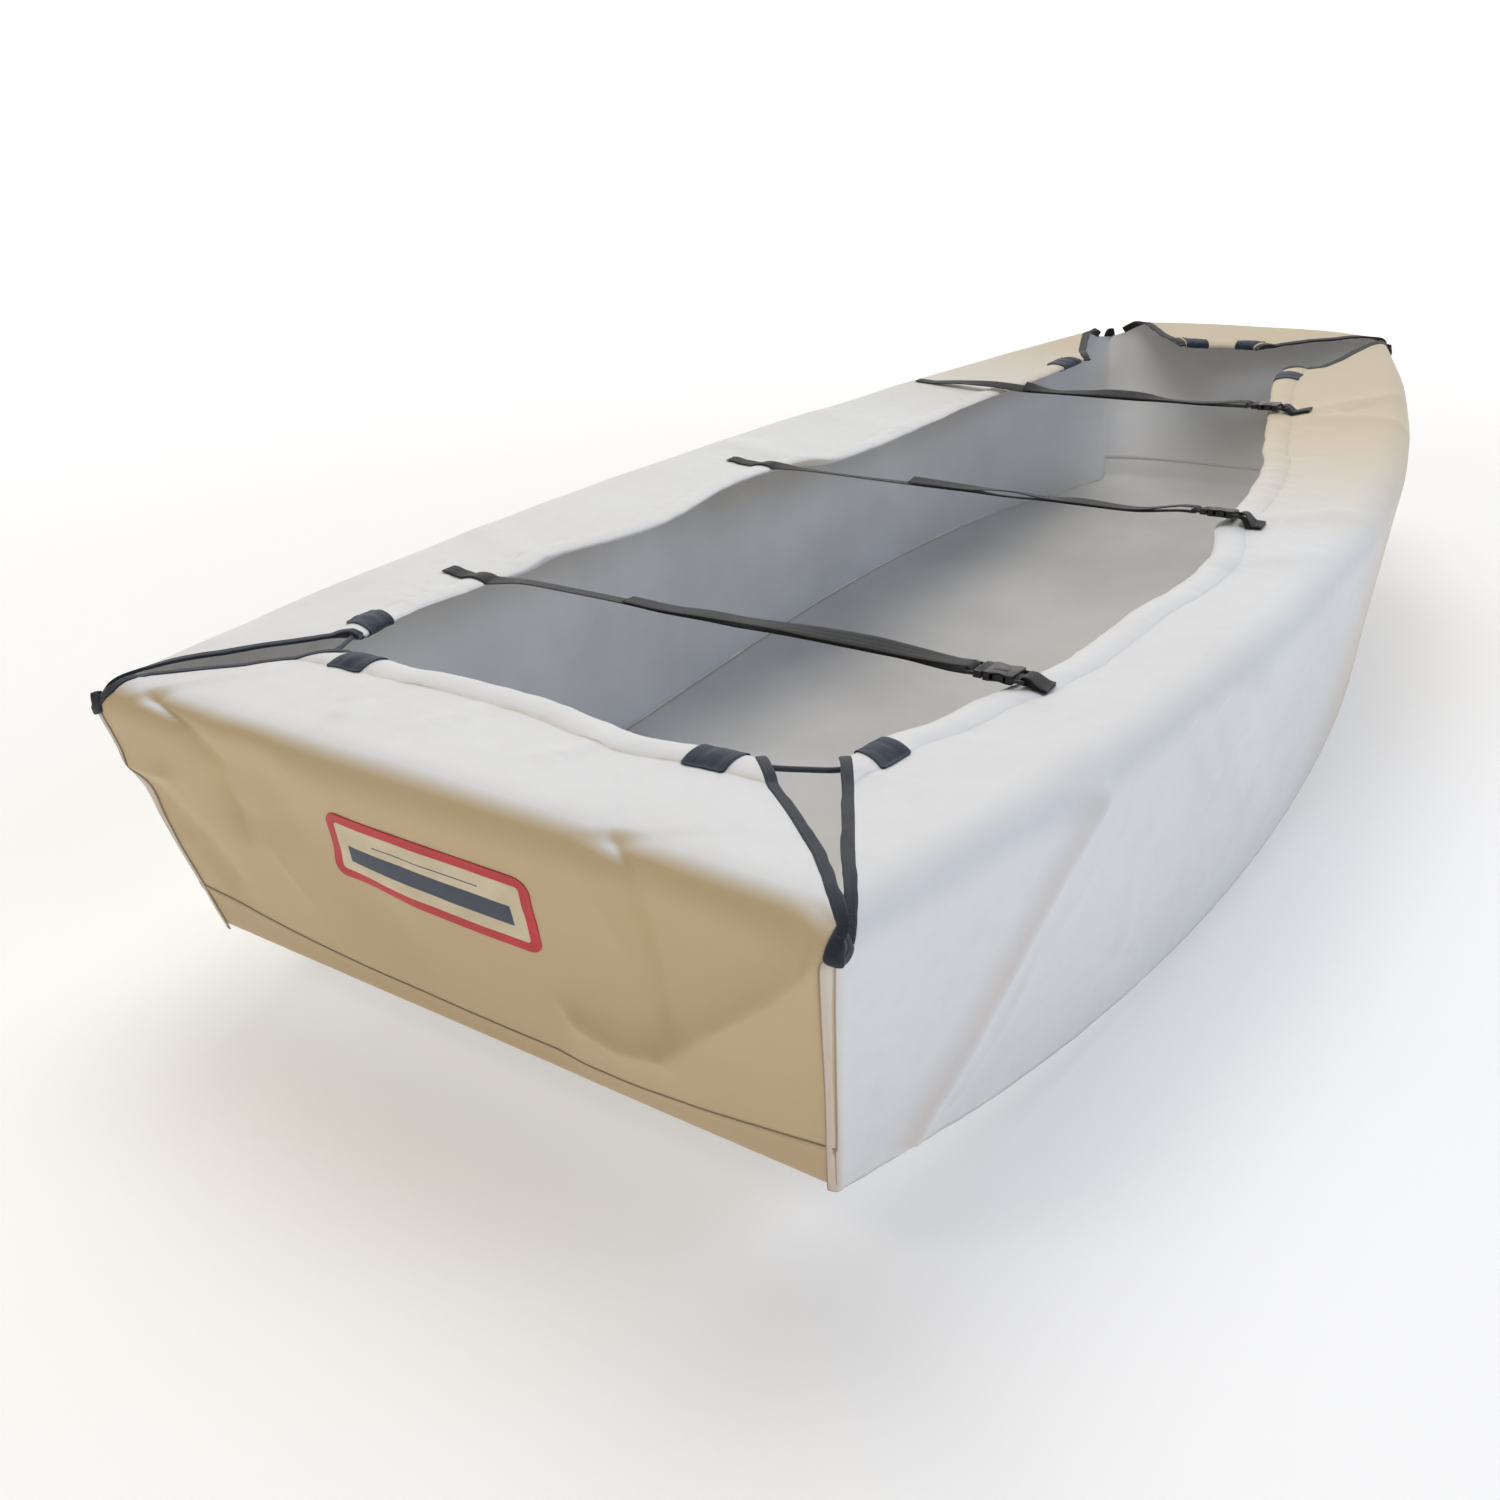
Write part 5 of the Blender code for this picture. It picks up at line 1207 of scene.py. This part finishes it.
# ---------------------------------------------------------------- straps and buckles
class Strap:
    def __init__(self, name, x_port, x_starboard, port_sewn, starboard_sewn, buckle_y, turn, tail_end):
        self.name, self.x_port, self.x_starboard = name, x_port, x_starboard
        self.sewn = {"port": port_sewn, "starboard": starboard_sewn}
        self.turn, self.tail_end = turn, tail_end
        places = {"port": x_port, "starboard": x_starboard}
        self.hem = {side: float(smooth(HEM_LINES[side], place)) for side, place in places.items()}
        self.prong_bar = buckle_y - BAR / 2
        low, high = (np.array(v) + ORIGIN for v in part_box("buckle_%s_socket" % name))
        self.level = (low[2] + high[2]) / 2
        self.socket_bar = low[1] + BAR / 2
        self.mouth = high[1]
        self.loop = (BAR * 0.71 + 0.0004 + WEBBING / 2) / math.cos(math.radians(14))

    def x_at(self, y):
        share = np.clip((self.hem["port"] - y) / (self.hem["port"] - self.prong_bar), 0, 1)
        return self.x_port + (self.x_starboard - self.x_port) * share

    def lying(self, side, y, layer):
        """Row of webbing that lies on the flange at y: it bridges the small wrinkles under it."""
        cloth, x = CLOTHS[side], float(self.x_at(y))
        hem, edge, _ = cloth.lines(np.array(x))
        depth = -(abs(edge[1]) - abs(y)) / abs((edge - hem)[1]) * np.linalg.norm(edge - hem)
        spots = x + np.linspace(-0.5, 0.5, 7) * WEBBING_WIDTH
        z = cloth.outer(spots, np.full(7, max(depth, -float(cloth.reach(x)))))[:, 2]
        slope = np.polyfit(spots - x, z, 1)[0]
        level = (z - slope * (spots - x)).max() + LIFT * 0.7 + WEBBING / 2
        return (y, level + layer * (WEBBING + LIFT * 0.5), math.degrees(math.atan(slope)))

    def tab(self, side, inner, layer=0):
        places = np.arange(self.hem[side] + self.sewn[side], inner, -0.006)
        return [self.lying(side, float(y) * SIDES[side], layer) for y in places]

    def round_bar(self, bar, inboard):
        turns = [math.radians(-112 + 28 * k) for k in range(9)]
        reach, rise = self.loop * inboard, self.loop
        return [(bar + math.cos(a) * reach, self.level + math.sin(a) * rise, self.turn) for a in turns]

    def ribbon(self, part, path):
        """Webbing along (y, z, turn) rows, with a section that is a little fuller at its middle."""
        path = np.array(path)
        points = np.column_stack([self.x_at(path[:, 0]), path])
        line = resampled(points, int(travelled(points[:, :3])[-1] / 0.0025))
        angle = np.radians(line[:, 3])
        across = np.stack([np.cos(angle), 0 * angle, np.sin(angle)], -1)
        up = unit(np.cross(unit(np.gradient(line[:, :3], axis=0)), across))
        half = np.full(len(line), WEBBING_WIDTH / 2)
        profile = flat_profile(-half, half, WEBBING / 2, WEBBING / 2)
        if part == "long":      # the heat-cut end narrows a little
            profile[-3:, :, 0] *= np.array([1.0, 0.99, 0.96])[:, None]
        name = "strap_%s_%s" % (self.name, part)
        handed_in(swept(name, line[:, :3], across, up, profile, WEBBING_CLOTH), name)

    def long_part(self):
        span = [(y, GUNWALE_LEVEL + h, *rest) for y, h, *rest in SPANS[self.name]]
        bar = self.prong_bar
        path = self.tab("port", max(span[0][0], self.hem["port"] - 0.002))
        path += [(y, z, turn) for y, z, turn, _, _ in span if y < path[-1][0] - 0.012]
        path += [(bar + 0.018, self.level - self.loop, self.turn), *self.round_bar(bar, -1)]
        path += [(bar + 0.018, self.level + self.loop * 0.7, self.turn)]
        for y, z, _, gap, turn in reversed(span):
            if y <= self.tail_end + 0.001:
                path.append((y, z + gap / math.cos(math.radians(turn)), turn))
        self.ribbon("long", path)

    def short_part(self):
        bar = self.socket_bar
        path = self.tab("starboard", abs(bar) + 0.006) + self.round_bar(bar, 1)
        path += [(bar - 0.0048, self.level + self.loop * 0.85, self.turn)]
        self.ribbon("short", path + self.tab("starboard", abs(bar) + 0.013, 1)[::-1])


def buckle_half(part, build, strap, y):
    """Moulded piece made in its own frame, x across, y towards starboard and z up, then placed."""
    name = "buckle_%s_%s" % (strap.name, part)
    bm = bmesh.new()
    build(bm)
    bmesh.ops.recalc_face_normals(bm, faces=bm.faces)
    mesh = bpy.data.meshes.new(name)
    place = Matrix.Translation(Vector((float(strap.x_at(y)), y, strap.level)) - Vector(ORIGIN))
    bm.transform(place @ Matrix.Rotation(-math.radians(strap.turn), 4, "Y"))
    bm.to_mesh(mesh)
    bm.free()
    mesh.materials.append(MOULDED)
    mesh.polygons.foreach_set("use_smooth", np.ones(len(mesh.polygons), bool))
    mesh.set_sharp_from_angle(angle=math.radians(50))
    handed_in(linked(name, mesh), name)


def prism(bm, outline, low, high, bevel=0.0007):
    """Prism of an (x, y) outline between two heights, with its edges rounded off."""
    bottom, top = ([bm.verts.new((x, y, z)) for x, y in outline] for z in (low, high))
    n = len(outline)
    faces = [bm.faces.new(bottom[::-1]), bm.faces.new(top)]
    faces += [bm.faces.new((bottom[k - 1], bottom[k], top[k], top[k - 1])) for k in range(n)]
    edges = list({edge for face in faces for edge in face.edges})
    bmesh.ops.bevel(bm, geom=edges, offset=bevel, segments=2, profile=0.6, affect="EDGES", clamp_overlap=True)


def block(bm, half, y0, y1, low, high, bevel=0.0007, middle=0.0):
    x0, x1 = middle - half, middle + half
    prism(bm, [(x0, y0), (x1, y0), (x1, y1), (x0, y1)], low, high, bevel)


def crossbar(bm, y):
    block(bm, BUCKLE_HALF - 0.0006, y - BAR, y, -FRAME_HALF, FRAME_HALF)


def rails(bm, y):
    """The two sides of the frame, beside the slot for the webbing."""
    inner = WEBBING_WIDTH / 2 + 0.0014
    half, middle = (BUCKLE_HALF - inner) / 2, (BUCKLE_HALF + inner) / 2
    for side in (-1, 1):
        block(bm, half, y - SLOT - 0.0012, y + 0.0012, -FRAME_HALF, FRAME_HALF, middle=side * middle)


def prongs_build(bm):
    """Ladder frame for the webbing and a ribbed shoulder. The arms are inside the socket."""
    crossbar(bm, 0.0)
    rails(bm, -BAR)
    end = -BAR - SLOT
    block(bm, BUCKLE_HALF, end - 0.0089, end, -0.0038, 0.0038, 0.0011)
    for k in range(3):      # grip ribs on the shoulder
        y = end - 0.0022 - 0.0022 * k
        block(bm, BUCKLE_HALF * 0.72, y - 0.0005, y + 0.0005, 0.0036, 0.0043, 0.0002)


def socket_build(bm):
    """Shell that takes the prongs, with a window in each side, and a frame with its bar."""
    half, body, skin = BUCKLE_HALF, BUCKLE_THICK / 2, 0.0017
    length, waist = 0.031, BUCKLE_HALF - 0.0034
    shares = np.linspace(0, 1, 17)
    reach = half - (half - waist) * np.exp(-(((shares - 0.50) / 0.17) ** 4))
    outline = [(x, -length * t) for x, t in zip(reach, shares)]
    outline += [(-x, y) for x, y in outline[::-1]]
    for low, high in ((body - skin, body), (-body, -body + skin)):
        prism(bm, outline, low, high)
    for y0, y1 in ((-0.0068, -0.0004), (-length, -0.0235)):
        block(bm, half - 0.0005, y0, y1, -body + 0.0006, body - 0.0006, 0.0005)
    heads = ((waist - 0.004, -0.0225), (half - 0.0008, -0.0210), (half - 0.0002, -0.0165),
             (half - 0.0016, -0.0100), (waist - 0.004, -0.0085))
    for side in (-1, 1):    # the prongs' heads show in the windows
        prism(bm, [(side * x, y) for x, y in heads[::side]], -0.0024, 0.0024, 0.0006)
    block(bm, 0.0045, -0.0205, -0.0065, body - 0.0006, body + 0.0004, 0.0003)
    rails(bm, -length)
    crossbar(bm, -length - SLOT)


def build_straps():
    for row in STRAPS:
        strap = Strap(*row)
        strap.long_part()
        strap.short_part()
        buckle_half("prongs", prongs_build, strap, strap.prong_bar + BAR / 2)
        buckle_half("socket", socket_build, strap, strap.mouth)


# ---------------------------------------------------------------- stage
PICTURE, FOCAL = 1500, 1416.2       # pixels
SENSOR = 36.0
GLOW = (1.0, 0.99, 0.975, 1)
WALL_TURN = math.radians(35)        # the floor curves up into a wall on this side, beyond the bow
LIGHTS = (      # name, place, aim, size, power, colour
    ("key", (-0.1, 0.3, 3.0), (-0.35, -0.05, 0.0), (2.4, 2.2), 54, (1.0, 0.99, 0.97)),
    ("side_fill", (-0.7, -3.3, 2.0), (-0.3, 0.0, -0.15), (3.0, 1.2), 40, (0.57, 0.71, 1.0)),
    ("stern_rake", (-2.5, 0.25, 1.7), (-1.15, 0.0, -0.15), (0.5, 0.5), 6.2, (1.0, 0.86, 0.66)),
    ("stern_fill", (-3.6, -0.9, 0.35), (-1.1, -0.1, -0.15), (1.6, 1.0), 0.4, (1.0, 0.60, 0.22)),
)


def camera():
    """The photograph's camera, as fitted to the cover."""
    place = np.array([-0.69089649, -0.85466422, 0.90448722]) - ORIGIN
    yaw, pitch, roll = 0.610816390, 0.441150803, -0.0391980806
    ahead = np.array([math.cos(yaw) * math.cos(pitch), math.sin(yaw) * math.cos(pitch), -math.sin(pitch)])
    right = np.array([math.sin(yaw), -math.cos(yaw), 0.0])
    up = np.cross(right, ahead)
    c, s = math.cos(roll), math.sin(roll)
    axes = np.column_stack([c * right + s * up, c * up - s * right, -ahead])
    data = bpy.data.cameras.new("camera")
    data.sensor_width, data.lens = SENSOR, FOCAL / PICTURE * SENSOR
    data.clip_start, data.clip_end = 0.05, 60.0
    obj = linked("camera", data)
    obj.matrix_world = Matrix.Translation(Vector(place)) @ Matrix(axes.tolist()).to_4x4()
    bpy.context.scene.camera = obj


def area_light(name, place, aim, size, power, colour):
    data = bpy.data.lights.new(name, "AREA")
    data.shape = "RECTANGLE"
    data.size, data.size_y = size
    data.energy, data.color = power, colour
    obj = linked(name, data)
    obj.location = place
    obj.rotation_mode = "QUATERNION"
    obj.rotation_quaternion = (Vector(aim) - Vector(place)).to_track_quat("-Z", "Y")


def backdrop(name, line, other, material):
    """Strip between two lines of points that belongs to the stage."""
    k = len(line)
    mesh = bpy.data.meshes.new(name)
    mesh.from_pydata([*line, *other], [], [(i, i + 1, i + 1 + k, i + k) for i in range(k - 1)])
    mesh.materials.append(material)
    mesh.polygons.foreach_set("use_smooth", np.full(k - 1, name == "floor"))
    linked(name, mesh)


def screen(level):
    """Low pale screen round the floor, on the sides where it doesn't curve up."""
    n = Nodes("screen")
    n.finish((0.15, 0.15, 0.148, 1), 0.9, Emission_Color=GLOW, Emission_Strength=0.27)
    radius, height, half_gap = 13.0, 7.0, math.radians(58)
    turns = WALL_TURN + np.linspace(half_gap, 2 * math.pi - half_gap, 49)
    ring = [(radius * math.cos(a), radius * math.sin(a)) for a in turns]
    low, high = ([(x, y, z) for x, y in ring] for z in (level, level + height))
    backdrop("screen", low, high, n.material)


def stage():
    n = Nodes("floor")
    place = n.object_place()
    tint = n.mix(n.noise(place, 1.5), (0.86, 0.85, 0.83, 1), (0.88, 0.87, 0.85, 1))
    n.finish(tint, 0.9, Emission_Color=GLOW)
    away = n.add("VectorMath", {0: place}, operation="LENGTH").outputs["Value"]
    n.put(n.shader.inputs["Emission Strength"], n.math("MULTIPLY_ADD", n.ramp(away, 1.0, 5.0), 0.60, 0.24))
    level = float(CAD_BOX[0].z) - 0.002
    curve, start, radius = np.linspace(0.1, math.pi / 2, 14), 5.0, 4.0
    line = [(-14.0, level), (start, level)]
    line += [(start + radius * math.sin(a), level + radius * (1 - math.cos(a))) for a in curve]
    line += [(start + radius, 12.0)]
    c, s = math.cos(WALL_TURN), math.sin(WALL_TURN)
    near, far = ([(x * c - y * s, x * s + y * c, z) for x, z in line] for y in (-16.0, 16.0))
    backdrop("floor", near, far, n.material)
    screen(level)
    world = bpy.data.worlds.new("studio")
    bpy.context.scene.world = world
    world.use_nodes = True
    background = world.node_tree.nodes["Background"]
    background.inputs["Color"].default_value = (1.0, 0.93, 0.84, 1)
    background.inputs["Strength"].default_value = 0.06
    for light in LIGHTS:
        area_light(*light)
    bpy.context.scene.view_settings.view_transform = "Standard"


build_panels()
for side_name in SIDES:
    for end_name in STATIONS:
        for of_side_panel in (True, False):
            tape_leg(side_name, end_name, of_side_panel)
        tip_cap(side_name, end_name)
        for of_side_panel in (True, False):
            casing_patch(side_name, end_name, of_side_panel)
    elastic_piece(side_name)
stern_patch()
build_straps()
camera()
stage()
